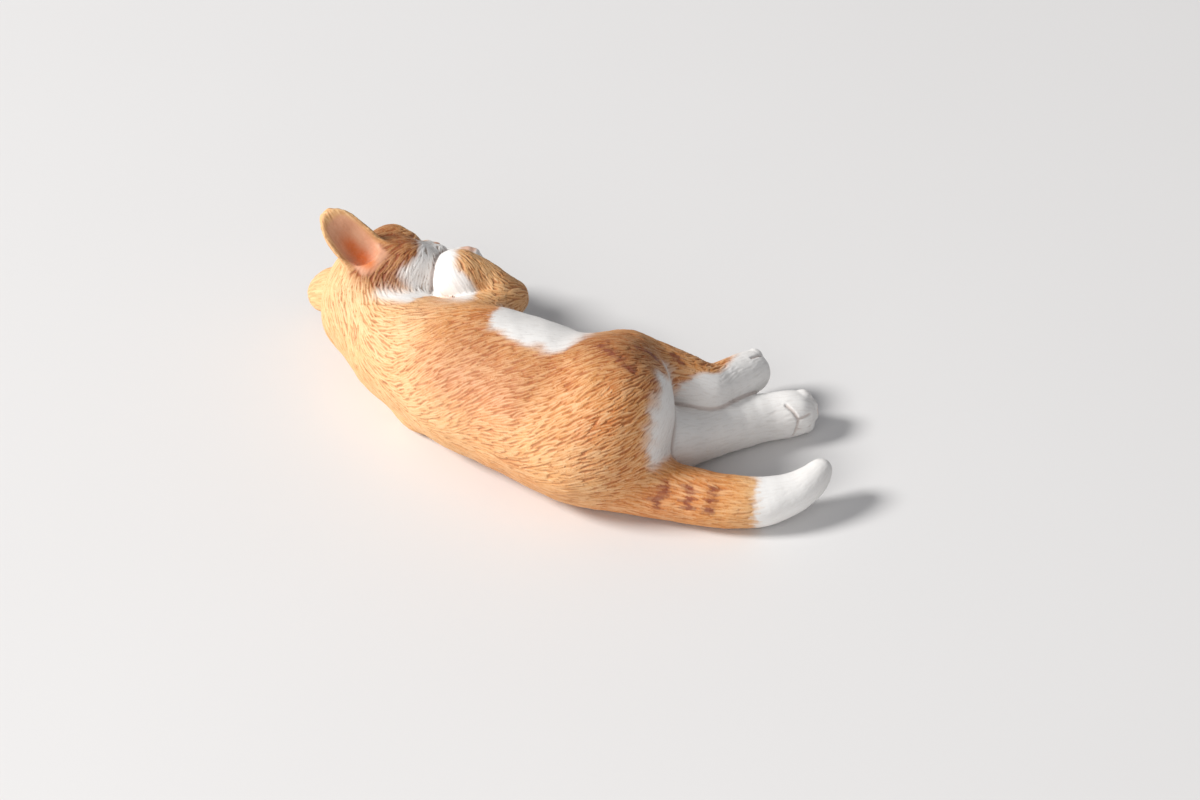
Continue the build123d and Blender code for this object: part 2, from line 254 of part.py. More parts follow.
LEFT_UPPER_ARM = [
    ((-34.00, -0.52, 7.31), (0.0125, 0.0435, 0.9990), (0.2751, 0.9603, -0.0452),
     (1.09, 1.09, 1.09, 1.09, 1.09, 1.09, 1.09, 1.09, 1.09, 1.09, 1.09, 1.09)),
    ((-33.86, -0.03, 7.29), (0.0125, 0.0435, 0.9990), (0.2751, 0.9603, -0.0452),
     (2.85, 2.85, 2.85, 2.85, 2.85, 2.85, 2.85, 2.85, 2.85, 2.85, 2.85, 2.85)),
    ((-33.53, 1.12, 7.24), (0.0125, 0.0435, 0.9990), (0.2751, 0.9603, -0.0452),
     (4.68, 4.68, 4.68, 4.68, 4.68, 4.68, 4.68, 4.68, 4.68, 4.68, 4.68, 4.68)),
    ((-33.00, 2.96, 7.15), (0.0125, 0.0435, 0.9990), (0.2751, 0.9603, -0.0452),
     (6.18, 6.18, 6.18, 6.18, 6.18, 6.18, 6.18, 6.18, 6.18, 6.18, 6.18, 6.18)),
    ((-32.10, 6.12, 7.00), (0.0125, 0.0436, 0.9990), (0.2749, 0.9604, -0.0453),
     (7.00, 7.00, 7.00, 7.00, 7.00, 7.00, 7.00, 6.99, 6.99, 6.99, 6.99, 7.00)),
    ((-30.68, 11.30, 6.73), (0.0143, 0.0503, 0.9986), (0.2611, 0.9639, -0.0523),
     (6.47, 6.47, 6.47, 6.47, 6.47, 6.47, 6.47, 6.47, 6.47, 6.47, 6.47, 6.47)),
    ((-29.15, 16.46, 6.51), (0.0016, 0.0145, 0.9999), (0.3352, 0.9420, -0.0142),
     (5.74, 5.75, 5.76, 5.76, 5.74, 5.72, 5.70, 5.68, 5.67, 5.68, 5.69, 5.71)),
    ((-26.34, 20.95, 7.00), (-0.0782, -0.0961, 0.9923), (0.5801, 0.8051, 0.1237),
     (4.82, 4.76, 4.74, 4.75, 4.79, 4.86, 4.93, 4.99, 5.01, 5.00, 4.95, 4.89)),
    ((-25.05, 22.83, 7.26), (-0.0719, -0.0868, 0.9936), (0.5611, 0.8201, 0.1122),
     (4.11, 4.07, 4.06, 4.07, 4.09, 4.13, 4.17, 4.21, 4.22, 4.22, 4.19, 4.15)),
    ((-24.30, 23.93, 7.41), (-0.0719, -0.0868, 0.9936), (0.5611, 0.8201, 0.1122),
     (3.12, 3.09, 3.08, 3.08, 3.11, 3.15, 3.19, 3.22, 3.23, 3.23, 3.20, 3.16)),
    ((-23.84, 24.61, 7.50), (-0.0719, -0.0868, 0.9936), (0.5611, 0.8201, 0.1122),
     (1.89, 1.86, 1.85, 1.85, 1.88, 1.91, 1.95, 1.99, 2.00, 2.00, 1.97, 1.93)),
    ((-23.64, 24.90, 7.54), (-0.0719, -0.0868, 0.9936), (0.5611, 0.8201, 0.1122),
     (0.70, 0.68, 0.66, 0.67, 0.69, 0.73, 0.77, 0.80, 0.82, 0.81, 0.79, 0.74)),
]

LEFT_FOREARM = [
    ((-22.47, 20.61, 4.55), (0.5159, -0.0890, 0.8520), (-0.8396, 0.1448, 0.5236),
     (0.83, 0.80, 0.75, 0.70, 0.67, 0.65, 0.66, 0.68, 0.73, 0.78, 0.82, 0.84)),
    ((-22.77, 20.66, 4.74), (0.5159, -0.0890, 0.8520), (-0.8396, 0.1448, 0.5236),
     (2.02, 1.99, 1.94, 1.90, 1.86, 1.84, 1.85, 1.88, 1.92, 1.97, 2.01, 2.03)),
    ((-23.48, 20.78, 5.18), (0.5159, -0.0890, 0.8520), (-0.8396, 0.1448, 0.5236),
     (3.26, 3.23, 3.18, 3.13, 3.09, 3.08, 3.08, 3.11, 3.16, 3.21, 3.25, 3.26)),
    ((-24.61, 20.98, 5.89), (0.5159, -0.0890, 0.8520), (-0.8396, 0.1448, 0.5236),
     (4.24, 4.21, 4.16, 4.11, 4.08, 4.06, 4.06, 4.09, 4.14, 4.19, 4.23, 4.24)),
    ((-26.56, 21.32, 7.10), (0.5038, -0.0868, 0.8595), (-0.8458, 0.1525, 0.5112),
     (4.68, 4.66, 4.62, 4.59, 4.56, 4.55, 4.55, 4.57, 4.60, 4.64, 4.67, 4.69)),
    ((-29.16, 21.82, 8.58), (0.5260, -0.0905, 0.8457), (-0.8343, 0.1385, 0.5337),
     (4.58, 4.56, 4.52, 4.50, 4.48, 4.48, 4.48, 4.49, 4.51, 4.54, 4.57, 4.59)),
    ((-31.27, 21.84, 10.71), (0.8340, -0.0457, 0.5499), (-0.5511, -0.1169, 0.8262),
     (4.34, 4.29, 4.27, 4.26, 4.26, 4.26, 4.26, 4.27, 4.28, 4.30, 4.34, 4.37)),
    ((-32.69, 21.38, 13.35), (0.9248, -0.0179, 0.3800), (-0.3784, -0.1449, 0.9142),
     (4.04, 4.04, 4.03, 4.03, 4.02, 4.01, 4.00, 4.00, 4.01, 4.02, 4.03, 4.03)),
    ((-33.13, 20.95, 16.30), (0.9957, 0.0268, 0.0883), (-0.0835, -0.1450, 0.9859),
     (3.44, 3.47, 3.51, 3.55, 3.58, 3.58, 3.56, 3.52, 3.48, 3.44, 3.42, 3.42)),
    ((-33.32, 20.72, 17.87), (0.9919, 0.0214, 0.1252), (-0.1208, -0.1444, 0.9821),
     (2.85, 2.90, 2.96, 3.01, 3.04, 3.03, 2.99, 2.93, 2.87, 2.82, 2.80, 2.81)),
    ((-33.44, 20.59, 18.78), (0.9919, 0.0214, 0.1252), (-0.1208, -0.1444, 0.9821),
     (2.13, 2.19, 2.25, 2.30, 2.32, 2.30, 2.26, 2.20, 2.14, 2.10, 2.08, 2.09)),
    ((-33.51, 20.50, 19.35), (0.9919, 0.0214, 0.1252), (-0.1208, -0.1444, 0.9821),
     (1.27, 1.33, 1.40, 1.44, 1.46, 1.45, 1.40, 1.34, 1.28, 1.24, 1.22, 1.23)),
    ((-33.54, 20.47, 19.59), (0.9919, 0.0214, 0.1252), (-0.1208, -0.1444, 0.9821),
     (0.45, 0.50, 0.57, 0.62, 0.64, 0.63, 0.58, 0.51, 0.45, 0.42, 0.41, 0.42)),
]

RIGHT_THIGH = [
    ((20.21, -21.26, 10.27), (0.0133, -0.5038, 0.8637), (-0.0228, 0.8634, 0.5040),
     (6.70, 7.01, 6.38, 4.80, 2.84, 1.45, 0.86, 0.63, 0.54, 0.54, 0.62, 0.84, 1.39, 2.60, 4.25, 5.72)),
    ((20.19, -20.45, 10.74), (0.0133, -0.5038, 0.8637), (-0.0228, 0.8634, 0.5040),
     (8.67, 8.95, 8.54, 7.38, 5.88, 4.55, 3.63, 3.11, 2.88, 2.90, 3.16, 3.71, 4.56, 5.67, 6.85, 7.90)),
    ((20.14, -18.61, 11.81), (0.0133, -0.5038, 0.8637), (-0.0228, 0.8634, 0.5040),
     (11.14, 11.42, 11.18, 10.34, 9.12, 7.92, 7.00, 6.42, 6.18, 6.26, 6.64, 7.28, 8.11, 8.99, 9.83, 10.57)),
    ((20.06, -15.65, 13.54), (0.0133, -0.5038, 0.8637), (-0.0228, 0.8634, 0.5040),
     (13.21, 13.44, 13.33, 12.77, 11.86, 10.88, 10.08, 9.58, 9.42, 9.57, 10.01, 10.63, 11.27, 11.86, 12.36, 12.82)),
    ((19.93, -10.58, 16.50), (0.0137, -0.5291, 0.8484), (-0.0115, 0.8484, 0.5293),
     (14.47, 14.62, 14.59, 14.28, 13.73, 13.10, 12.54, 12.32, 12.44, 12.77, 13.18, 13.57, 13.81, 13.95, 14.07, 14.25)),
    ((19.88, -7.56, 18.37), (-0.0152, -0.2943, 0.9556), (-0.1103, 0.9504, 0.2909),
     (13.73, 13.78, 13.80, 13.74, 13.57, 13.24, 12.95, 12.83, 12.93, 13.23, 13.66, 14.05, 14.18, 14.03, 13.84, 13.72)),
    ((19.17, -4.08, 18.50), (-0.1066, 0.0578, 0.9926), (-0.2344, 0.9687, -0.0815),
     (12.15, 12.06, 12.10, 12.25, 12.42, 12.55, 12.60, 12.64, 12.77, 13.07, 13.49, 13.87, 13.91, 13.52, 12.93, 12.44)),
    ((18.33, -0.62, 18.20), (-0.1013, 0.0349, 0.9942), (-0.2273, 0.9721, -0.0573),
     (11.25, 11.14, 11.14, 11.22, 11.30, 11.35, 11.35, 11.37, 11.48, 11.75, 12.14, 12.52, 12.64, 12.39, 11.92, 11.51)),
    ((17.08, 4.80, 17.91), (-0.1002, 0.0300, 0.9945), (-0.2258, 0.9728, -0.0521),
     (8.97, 8.89, 8.87, 8.89, 8.94, 8.99, 9.04, 9.11, 9.20, 9.34, 9.52, 9.67, 9.72, 9.59, 9.36, 9.13)),
    ((16.34, 7.95, 17.74), (-0.1002, 0.0300, 0.9945), (-0.2258, 0.9728, -0.0521),
     (6.81, 6.76, 6.74, 6.75, 6.77, 6.80, 6.84, 6.89, 6.94, 7.01, 7.08, 7.14, 7.15, 7.09, 6.99, 6.88)),
    ((15.89, 9.92, 17.64), (-0.1002, 0.0300, 0.9945), (-0.2258, 0.9728, -0.0521),
     (4.14, 4.12, 4.11, 4.11, 4.13, 4.15, 4.18, 4.21, 4.25, 4.28, 4.31, 4.33, 4.32, 4.28, 4.23, 4.18)),
    ((15.69, 10.77, 17.59), (-0.1002, 0.0300, 0.9945), (-0.2258, 0.9728, -0.0521),
     (1.57, 1.55, 1.54, 1.55, 1.56, 1.58, 1.61, 1.64, 1.66, 1.68, 1.70, 1.70, 1.69, 1.66, 1.63, 1.60)),
]

RIGHT_SHIN = [
    ((10.58, 0.16, 19.52), (0.2157, 0.1364, 0.9669), (0.8173, 0.5166, -0.2552),
     (1.25, 1.25, 1.25, 1.25, 1.25, 1.25, 1.25, 1.25, 1.25, 1.25, 1.25, 1.25)),
    ((11.07, 0.47, 19.37), (0.2157, 0.1364, 0.9669), (0.8173, 0.5166, -0.2552),
     (3.25, 3.25, 3.25, 3.25, 3.25, 3.25, 3.25, 3.25, 3.25, 3.25, 3.25, 3.25)),
    ((12.18, 1.17, 19.02), (0.2157, 0.1364, 0.9669), (0.8173, 0.5166, -0.2552),
     (5.35, 5.35, 5.35, 5.35, 5.35, 5.35, 5.35, 5.35, 5.35, 5.35, 5.35, 5.35)),
    ((13.97, 2.30, 18.46), (0.2157, 0.1364, 0.9669), (0.8173, 0.5166, -0.2552),
     (7.06, 7.06, 7.06, 7.06, 7.06, 7.06, 7.06, 7.06, 7.06, 7.06, 7.06, 7.06)),
    ((17.04, 4.24, 17.50), (0.2154, 0.1362, 0.9670), (0.8170, 0.5172, -0.2548),
     (7.99, 8.00, 8.00, 8.00, 8.00, 8.00, 8.00, 8.00, 7.99, 7.98, 7.98, 7.98)),
    ((20.24, 6.32, 16.52), (0.2089, 0.1319, 0.9690), (0.8115, 0.5297, -0.2470),
     (7.46, 7.45, 7.44, 7.44, 7.44, 7.44, 7.45, 7.45, 7.46, 7.46, 7.46, 7.46)),
    ((23.46, 8.36, 15.52), (0.2251, 0.1417, 0.9640), (0.8246, 0.4992, -0.2659),
     (6.73, 6.73, 6.72, 6.72, 6.72, 6.73, 6.73, 6.73, 6.73, 6.73, 6.73, 6.73)),
    ((26.82, 10.03, 14.36), (0.2901, 0.1641, 0.9428), (0.8937, 0.3060, -0.3283),
     (6.06, 6.07, 6.11, 6.14, 6.14, 6.12, 6.11, 6.10, 6.11, 6.11, 6.09, 6.07)),
    ((30.29, 11.27, 12.99), (0.3040, 0.1720, 0.9370), (0.8156, 0.4613, -0.3493),
     (5.67, 5.60, 5.62, 5.70, 5.77, 5.79, 5.79, 5.84, 5.97, 6.05, 5.97, 5.82)),
    ((32.69, 14.08, 11.80), (0.2890, 0.1411, 0.9469), (0.4265, 0.8665, -0.2593),
     (5.29, 5.45, 5.61, 5.73, 5.77, 5.71, 5.59, 5.49, 5.59, 5.69, 5.52, 5.28)),
    ((34.05, 17.65, 10.86), (0.2895, 0.1426, 0.9465), (0.3118, 0.9209, -0.2341),
     (4.94, 4.95, 4.98, 5.02, 5.06, 5.08, 5.07, 5.05, 5.02, 4.99, 4.96, 4.94)),
    ((35.00, 21.37, 10.00), (0.2898, 0.1441, 0.9462), (0.1864, 0.9612, -0.2035),
     (4.88, 4.88, 4.88, 4.89, 4.89, 4.90, 4.91, 4.91, 4.91, 4.91, 4.90, 4.89)),
    ((35.73, 25.16, 9.20), (0.2897, 0.1440, 0.9462), (0.2034, 0.9568, -0.2079),
     (4.65, 4.64, 4.67, 4.71, 4.76, 4.81, 4.84, 4.85, 4.83, 4.79, 4.73, 4.68)),
    ((36.24, 27.49, 8.69), (0.2897, 0.1440, 0.9462), (0.2061, 0.9561, -0.2086),
     (4.16, 4.14, 4.16, 4.21, 4.28, 4.35, 4.40, 4.42, 4.40, 4.35, 4.28, 4.21)),
    ((36.53, 28.85, 8.39), (0.2897, 0.1440, 0.9462), (0.2061, 0.9561, -0.2086),
     (3.16, 3.14, 3.16, 3.21, 3.28, 3.35, 3.40, 3.42, 3.40, 3.35, 3.28, 3.21)),
    ((36.71, 29.70, 8.21), (0.2897, 0.1440, 0.9462), (0.2061, 0.9561, -0.2086),
     (1.89, 1.87, 1.89, 1.93, 2.00, 2.07, 2.13, 2.15, 2.13, 2.08, 2.01, 1.94)),
    ((36.79, 30.07, 8.13), (0.2897, 0.1440, 0.9462), (0.2061, 0.9561, -0.2086),
     (0.66, 0.64, 0.66, 0.70, 0.77, 0.84, 0.90, 0.92, 0.90, 0.84, 0.77, 0.70)),
]

LEFT_HIND_LEG = [
    ((24.07, -10.56, 10.18), (0.1210, 0.1756, 0.9770), (0.5544, 0.8045, -0.2132),
     (1.25, 1.25, 1.25, 1.25, 1.25, 1.25, 1.25, 1.25, 1.25, 1.25, 1.25, 1.25)),
    ((24.40, -10.08, 10.06), (0.1210, 0.1756, 0.9770), (0.5544, 0.8045, -0.2132),
     (3.25, 3.25, 3.25, 3.25, 3.25, 3.25, 3.25, 3.25, 3.25, 3.25, 3.25, 3.25)),
    ((25.16, -8.98, 9.77), (0.1210, 0.1756, 0.9770), (0.5544, 0.8045, -0.2132),
     (5.35, 5.35, 5.35, 5.35, 5.35, 5.35, 5.35, 5.35, 5.35, 5.35, 5.35, 5.35)),
    ((26.37, -7.22, 9.30), (0.1210, 0.1756, 0.9770), (0.5544, 0.8045, -0.2132),
     (7.06, 7.06, 7.06, 7.06, 7.06, 7.06, 7.06, 7.06, 7.06, 7.06, 7.06, 7.06)),
    ((28.45, -4.20, 8.50), (0.1213, 0.1761, 0.9769), (0.5543, 0.8044, -0.2138),
     (8.00, 8.00, 8.00, 8.00, 7.99, 7.98, 7.98, 7.98, 7.99, 8.00, 8.00, 8.00)),
    ((31.53, 0.25, 7.20), (0.1307, 0.1897, 0.9731), (0.5534, 0.8004, -0.2304),
     (7.03, 7.03, 7.03, 7.03, 7.03, 7.03, 7.03, 7.03, 7.03, 7.03, 7.03, 7.03)),
    ((34.62, 4.76, 6.18), (0.0726, 0.1036, 0.9920), (0.5553, 0.8220, -0.1265),
     (5.97, 5.97, 5.96, 5.96, 5.96, 5.96, 5.96, 5.96, 5.96, 5.96, 5.96, 5.97)),
    ((37.66, 9.39, 5.68), (0.0403, 0.0539, 0.9977), (0.5434, 0.8368, -0.0671),
     (5.47, 5.46, 5.46, 5.45, 5.45, 5.44, 5.44, 5.45, 5.45, 5.46, 5.46, 5.46)),
    ((40.72, 14.02, 5.37), (0.0304, 0.0394, 0.9988), (0.5626, 0.8253, -0.0497),
     (5.35, 5.35, 5.35, 5.35, 5.35, 5.35, 5.35, 5.35, 5.35, 5.35, 5.35, 5.35)),
    ((44.07, 18.45, 5.10), (0.0208, 0.0288, 0.9994), (0.6733, 0.7385, -0.0353),
     (5.20, 5.21, 5.22, 5.22, 5.21, 5.20, 5.19, 5.18, 5.18, 5.18, 5.18, 5.19)),
    ((48.11, 22.26, 5.00), (0.0123, 0.0204, 0.9997), (0.7121, 0.7017, -0.0231),
     (5.06, 5.06, 5.06, 5.06, 5.06, 5.06, 5.05, 5.05, 5.05, 5.05, 5.05, 5.05)),
    ((49.85, 23.99, 4.94), (0.0131, 0.0212, 0.9997), (0.7084, 0.7054, -0.0243),
     (4.48, 4.49, 4.50, 4.50, 4.49, 4.48, 4.47, 4.46, 4.45, 4.45, 4.46, 4.47)),
    ((50.86, 25.00, 4.91), (0.0131, 0.0212, 0.9997), (0.7084, 0.7054, -0.0243),
     (3.41, 3.42, 3.43, 3.43, 3.42, 3.41, 3.40, 3.39, 3.38, 3.38, 3.39, 3.40)),
    ((51.49, 25.63, 4.88), (0.0131, 0.0212, 0.9997), (0.7084, 0.7054, -0.0243),
     (2.08, 2.09, 2.10, 2.10, 2.09, 2.08, 2.07, 2.06, 2.05, 2.05, 2.06, 2.07)),
    ((51.76, 25.90, 4.87), (0.0131, 0.0212, 0.9997), (0.7084, 0.7054, -0.0243),
     (0.80, 0.81, 0.82, 0.82, 0.82, 0.81, 0.79, 0.78, 0.77, 0.77, 0.78, 0.79)),
]

TAIL_SECTIONS = [
    ((14.62, -16.33, 9.80), (0.1771, 0.0060, 0.9842), (0.9836, 0.0332, -0.1772),
     (1.22, 1.23, 1.23, 1.23, 1.22, 1.20, 1.19, 1.19, 1.19, 1.19, 1.20, 1.21)),
    ((15.20, -16.31, 9.69), (0.1771, 0.0060, 0.9842), (0.9836, 0.0332, -0.1772),
     (3.16, 3.16, 3.16, 3.16, 3.15, 3.13, 3.12, 3.12, 3.12, 3.12, 3.13, 3.15)),
    ((16.54, -16.26, 9.45), (0.1771, 0.0060, 0.9842), (0.9836, 0.0332, -0.1772),
     (5.17, 5.17, 5.17, 5.17, 5.16, 5.15, 5.13, 5.13, 5.13, 5.13, 5.14, 5.16)),
    ((18.69, -16.19, 9.06), (0.1771, 0.0060, 0.9842), (0.9836, 0.0332, -0.1772),
     (6.77, 6.77, 6.77, 6.77, 6.76, 6.74, 6.73, 6.73, 6.73, 6.73, 6.74, 6.75)),
    ((22.37, -16.07, 8.40), (0.1776, 0.0060, 0.9841), (0.9836, 0.0311, -0.1777),
     (7.47, 7.48, 7.48, 7.48, 7.47, 7.45, 7.44, 7.43, 7.43, 7.44, 7.45, 7.46)),
    ((26.64, -16.03, 7.60), (0.1841, 0.0060, 0.9829), (0.9829, 0.0064, -0.1841),
     (7.19, 7.19, 7.19, 7.19, 7.18, 7.18, 7.17, 7.16, 7.16, 7.16, 7.17, 7.17)),
    ((30.92, -15.78, 6.86), (0.1502, 0.0013, 0.9887), (0.9792, 0.1380, -0.1489),
     (6.74, 6.72, 6.71, 6.70, 6.70, 6.70, 6.72, 6.74, 6.76, 6.77, 6.77, 6.76)),
    ((35.10, -14.75, 6.32), (0.1125, -0.0111, 0.9936), (0.9452, 0.3095, -0.1035),
     (6.38, 6.38, 6.37, 6.37, 6.37, 6.37, 6.38, 6.38, 6.39, 6.39, 6.39, 6.39)),
    ((39.20, -13.36, 5.93), (0.0917, -0.0177, 0.9956), (0.9506, 0.2992, -0.0823),
     (6.10, 6.11, 6.11, 6.11, 6.11, 6.11, 6.10, 6.09, 6.09, 6.09, 6.09, 6.10)),
    ((43.37, -12.17, 5.63), (0.0644, -0.0254, 0.9976), (0.9609, 0.2714, -0.0551),
     (5.88, 5.87, 5.87, 5.87, 5.87, 5.87, 5.87, 5.87, 5.88, 5.88, 5.88, 5.88)),
    ((47.48, -10.79, 5.41), (0.0676, -0.0241, 0.9974), (0.9203, 0.3876, -0.0530),
     (5.68, 5.67, 5.67, 5.67, 5.67, 5.67, 5.68, 5.69, 5.70, 5.70, 5.70, 5.69)),
    ((51.39, -8.91, 5.19), (0.0666, -0.0246, 0.9975), (0.8764, 0.4792, -0.0467),
     (5.48, 5.48, 5.48, 5.48, 5.48, 5.48, 5.48, 5.49, 5.49, 5.49, 5.49, 5.49)),
    ((55.00, -6.51, 4.99), (0.0764, -0.0163, 0.9969), (0.7607, 0.6474, -0.0478),
     (5.26, 5.25, 5.25, 5.25, 5.25, 5.25, 5.26, 5.27, 5.29, 5.29, 5.29, 5.27)),
    ((57.85, -3.25, 4.78), (0.0836, -0.0058, 0.9965), (0.5643, 0.8245, -0.0425),
     (4.93, 4.92, 4.91, 4.91, 4.91, 4.92, 4.93, 4.94, 4.95, 4.95, 4.95, 4.94)),
    ((60.08, 0.47, 4.67), (0.0732, -0.0267, 0.9970), (0.4461, 0.8949, -0.0088),
     (4.48, 4.48, 4.47, 4.47, 4.47, 4.47, 4.48, 4.49, 4.49, 4.50, 4.49, 4.49)),
    ((61.73, 4.49, 4.70), (0.0655, -0.0507, 0.9966), (0.3066, 0.9514, 0.0282),
     (3.95, 3.94, 3.93, 3.92, 3.93, 3.93, 3.94, 3.95, 3.95, 3.95, 3.95, 3.95)),
    ((62.37, 8.77, 5.00), (0.0614, -0.0841, 0.9946), (0.1217, 0.9896, 0.0761),
     (2.73, 2.75, 2.76, 2.77, 2.78, 2.77, 2.76, 2.74, 2.73, 2.72, 2.71, 2.72)),
    ((62.54, 9.95, 5.09), (0.0618, -0.0816, 0.9947), (0.1360, 0.9880, 0.0726),
     (2.20, 2.21, 2.21, 2.22, 2.23, 2.23, 2.23, 2.22, 2.22, 2.21, 2.20, 2.20)),
    ((62.63, 10.64, 5.14), (0.0618, -0.0816, 0.9947), (0.1360, 0.9880, 0.0726),
     (1.64, 1.64, 1.65, 1.65, 1.66, 1.66, 1.66, 1.66, 1.66, 1.66, 1.65, 1.64)),
    ((62.69, 11.08, 5.17), (0.0618, -0.0816, 0.9947), (0.1360, 0.9880, 0.0726),
     (0.99, 0.99, 1.00, 1.00, 1.01, 1.01, 1.02, 1.02, 1.01, 1.01, 1.00, 1.00)),
    ((62.72, 11.26, 5.18), (0.0618, -0.0816, 0.9947), (0.1360, 0.9880, 0.0726),
     (0.37, 0.37, 0.37, 0.38, 0.39, 0.39, 0.40, 0.40, 0.40, 0.39, 0.38, 0.37)),
]

# ---------------------------------------------------------------- helpers
def section_face(row, shrink=0.0):
    """One cross-section as a planar face bounded by a smooth closed curve."""
    centre, spoke, normal, lengths = row
    plane = Plane(origin=centre, x_dir=spoke, z_dir=normal)
    n = len(lengths)
    points = []
    for i, length in enumerate(lengths):
        r = max(length - shrink, 0.12)
        a = 2 * math.pi * i / n
        points.append(plane.from_local_coords((r * math.cos(a), r * math.sin(a), 0)))
    return Face(Wire([Edge.make_spline([Vector(p) for p in points], periodic=True)]))


def skin(rows, shrink=0.0):
    """A smooth closed solid through the cross-sections."""
    return Solid.make_loft([section_face(row, shrink).outer_wire() for row in rows], False)


def stub(seat, direction, diameter, inward, outward):
    """A round stub along direction, from inward below the seat point to outward above it."""
    d = Vector(*direction).normalized()
    start = Vector(*seat) - d * inward
    return Solid.make_cylinder(diameter / 2, inward + outward, Plane(origin=start, z_dir=d))

# ---------------------------------------------------------------- seats
# Where each luted piece sits on its parent: a point on the parent's surface and the
# direction in which the piece leaves it.
NECK_FACE = ((-39.29, -5.00, 13.20), (-0.9237, 0.3791, 0.0550))
RIGHT_FORELEG_SEAT = ((-18.73, 3.19, 20.75), (0.0524, 0.6775, 0.7336))
LEFT_FORELEG_SEAT = ((-32.54, 3.61, 7.46), (0.2579, 0.9637, -0.0687))
RIGHT_HIND_LEG_SEAT = ((23.76, -11.65, 27.31), (0.4022, -0.2208, 0.8885))
LEFT_HIND_LEG_SEAT = ((29.79, -1.46, 7.78), (0.6018, 0.7733, -0.1998))
TAIL_SEAT = ((33.15, -15.27, 6.51), (0.9691, 0.1198, -0.2157))
RIGHT_EAR_SEAT = ((-49.51, -0.24, 27.11), (-0.4807, -0.2299, 0.8462))
LEFT_EAR_SEAT = ((-54.27, 3.87, 11.65), (-0.8851, 0.1147, -0.4511))


def largest(shape):
    """The largest solid of a cut result, so that no sliver beyond the parent is kept."""
    return max(shape.solids(), key=lambda s: s.volume)


def above_table(shape, height=0.0):
    """Grinds everything below the given height away, which leaves a flat underside."""
    below = Solid.make_box(400, 400, 60, Plane(origin=(-200, -200, height - 60)))
    return shape - below


# ---------------------------------------------------------------- outer forms
body_form = above_table(skin(BODY_SECTIONS))
head_form = skin(HEAD_SECTIONS)
right_foreleg_form = skin(RIGHT_UPPER_ARM) + skin(RIGHT_FOREARM) + skin(RIGHT_FOREPAW)
left_foreleg_form = above_table(skin(LEFT_UPPER_ARM) + skin(LEFT_FOREARM))
right_hind_leg_form = skin(RIGHT_THIGH) + skin(RIGHT_SHIN)
left_hind_leg_form = above_table(skin(LEFT_HIND_LEG))
tail_form = above_table(skin(TAIL_SECTIONS))
right_ear_form = skin(RIGHT_EAR_SECTIONS) - skin(RIGHT_EAR_HOLLOW)
left_ear_form = skin(LEFT_EAR_SECTIONS)

# ---------------------------------------------------------------- body shell
# Hollow, with one vent in the flat underside, a bore at the neck and blind or through
# seats for the stubs of the legs and the tail.
body_cavity = above_table(skin(BODY_SECTIONS[2:-1], WALL), WALL)
vent = Solid.make_cylinder(
    VENT_DIAMETER / 2, WALL + 2, Plane(origin=(VENT_XY[0], VENT_XY[1], -1), z_dir=(0, 0, 1))
)
body_shell = body_form - body_cavity - vent
neck_bore = stub(*NECK_FACE, NECK_STUB_DIAMETER + 2 * STUB_GAP, 8.5, 2)
body_shell = body_shell - neck_bore
limb_seats = [
    (RIGHT_FORELEG_SEAT, ARM_STUB_DIAMETER),
    (LEFT_FORELEG_SEAT, ARM_STUB_DIAMETER),
    (RIGHT_HIND_LEG_SEAT, LEG_STUB_DIAMETER),
    (LEFT_HIND_LEG_SEAT, LEG_STUB_DIAMETER),
    (TAIL_SEAT, TAIL_STUB_DIAMETER),
]
for seat, diameter in limb_seats:
    body_shell = body_shell - stub(*seat, diameter + 2 * STUB_GAP, STUB_DEPTH + 0.2, 4)
body_shell = largest(body_shell)

# ---------------------------------------------------------------- head
# Hollow; its tubular stub enters the neck bore and joins the two hollows.
neck_point, neck_axis = Vector(*NECK_FACE[0]), Vector(*NECK_FACE[1]).normalized()
behind_neck = Solid.make_cylinder(
    30, 40, Plane(origin=neck_point + neck_axis * (3.0 - 40), z_dir=neck_axis)
)
head_cavity = skin(HEAD_SECTIONS[3:-3], HEAD_WALL) - behind_neck
neck_tube = stub(*NECK_FACE, NECK_STUB_DIAMETER, STUB_DEPTH, 1.0)
gas_bore = stub(*NECK_FACE, NECK_BORE_DIAMETER, STUB_DEPTH + 1, 5)
head = largest(head_form - body_form)
head = head - gas_bore - head_cavity
head = head + (neck_tube - gas_bore)
for seat in (RIGHT_EAR_SEAT, LEFT_EAR_SEAT):
    head = head - stub(*seat, EAR_STUB_DIAMETER + 2 * STUB_GAP, EAR_STUB_DEPTH + 0.2, 4)
head = largest(head)

# ---------------------------------------------------------------- ears
right_ear = largest(right_ear_form - head_form - body_form)
right_ear = largest(right_ear + stub(*RIGHT_EAR_SEAT, EAR_STUB_DIAMETER, EAR_STUB_DEPTH, 1.5))
left_ear = largest(left_ear_form - head_form - body_form)
left_ear = largest(left_ear + stub(*LEFT_EAR_SEAT, EAR_STUB_DIAMETER, EAR_STUB_DEPTH, 2.0))


# ---------------------------------------------------------------- legs and tail
def luted(form, seat, diameter, *neighbours):
    """A limb cut to its neighbours' outer forms, with its stub added."""
    piece = form
    for other in neighbours:
        piece = piece - other
    return largest(largest(piece) + stub(*seat, diameter, STUB_DEPTH, 2.5))


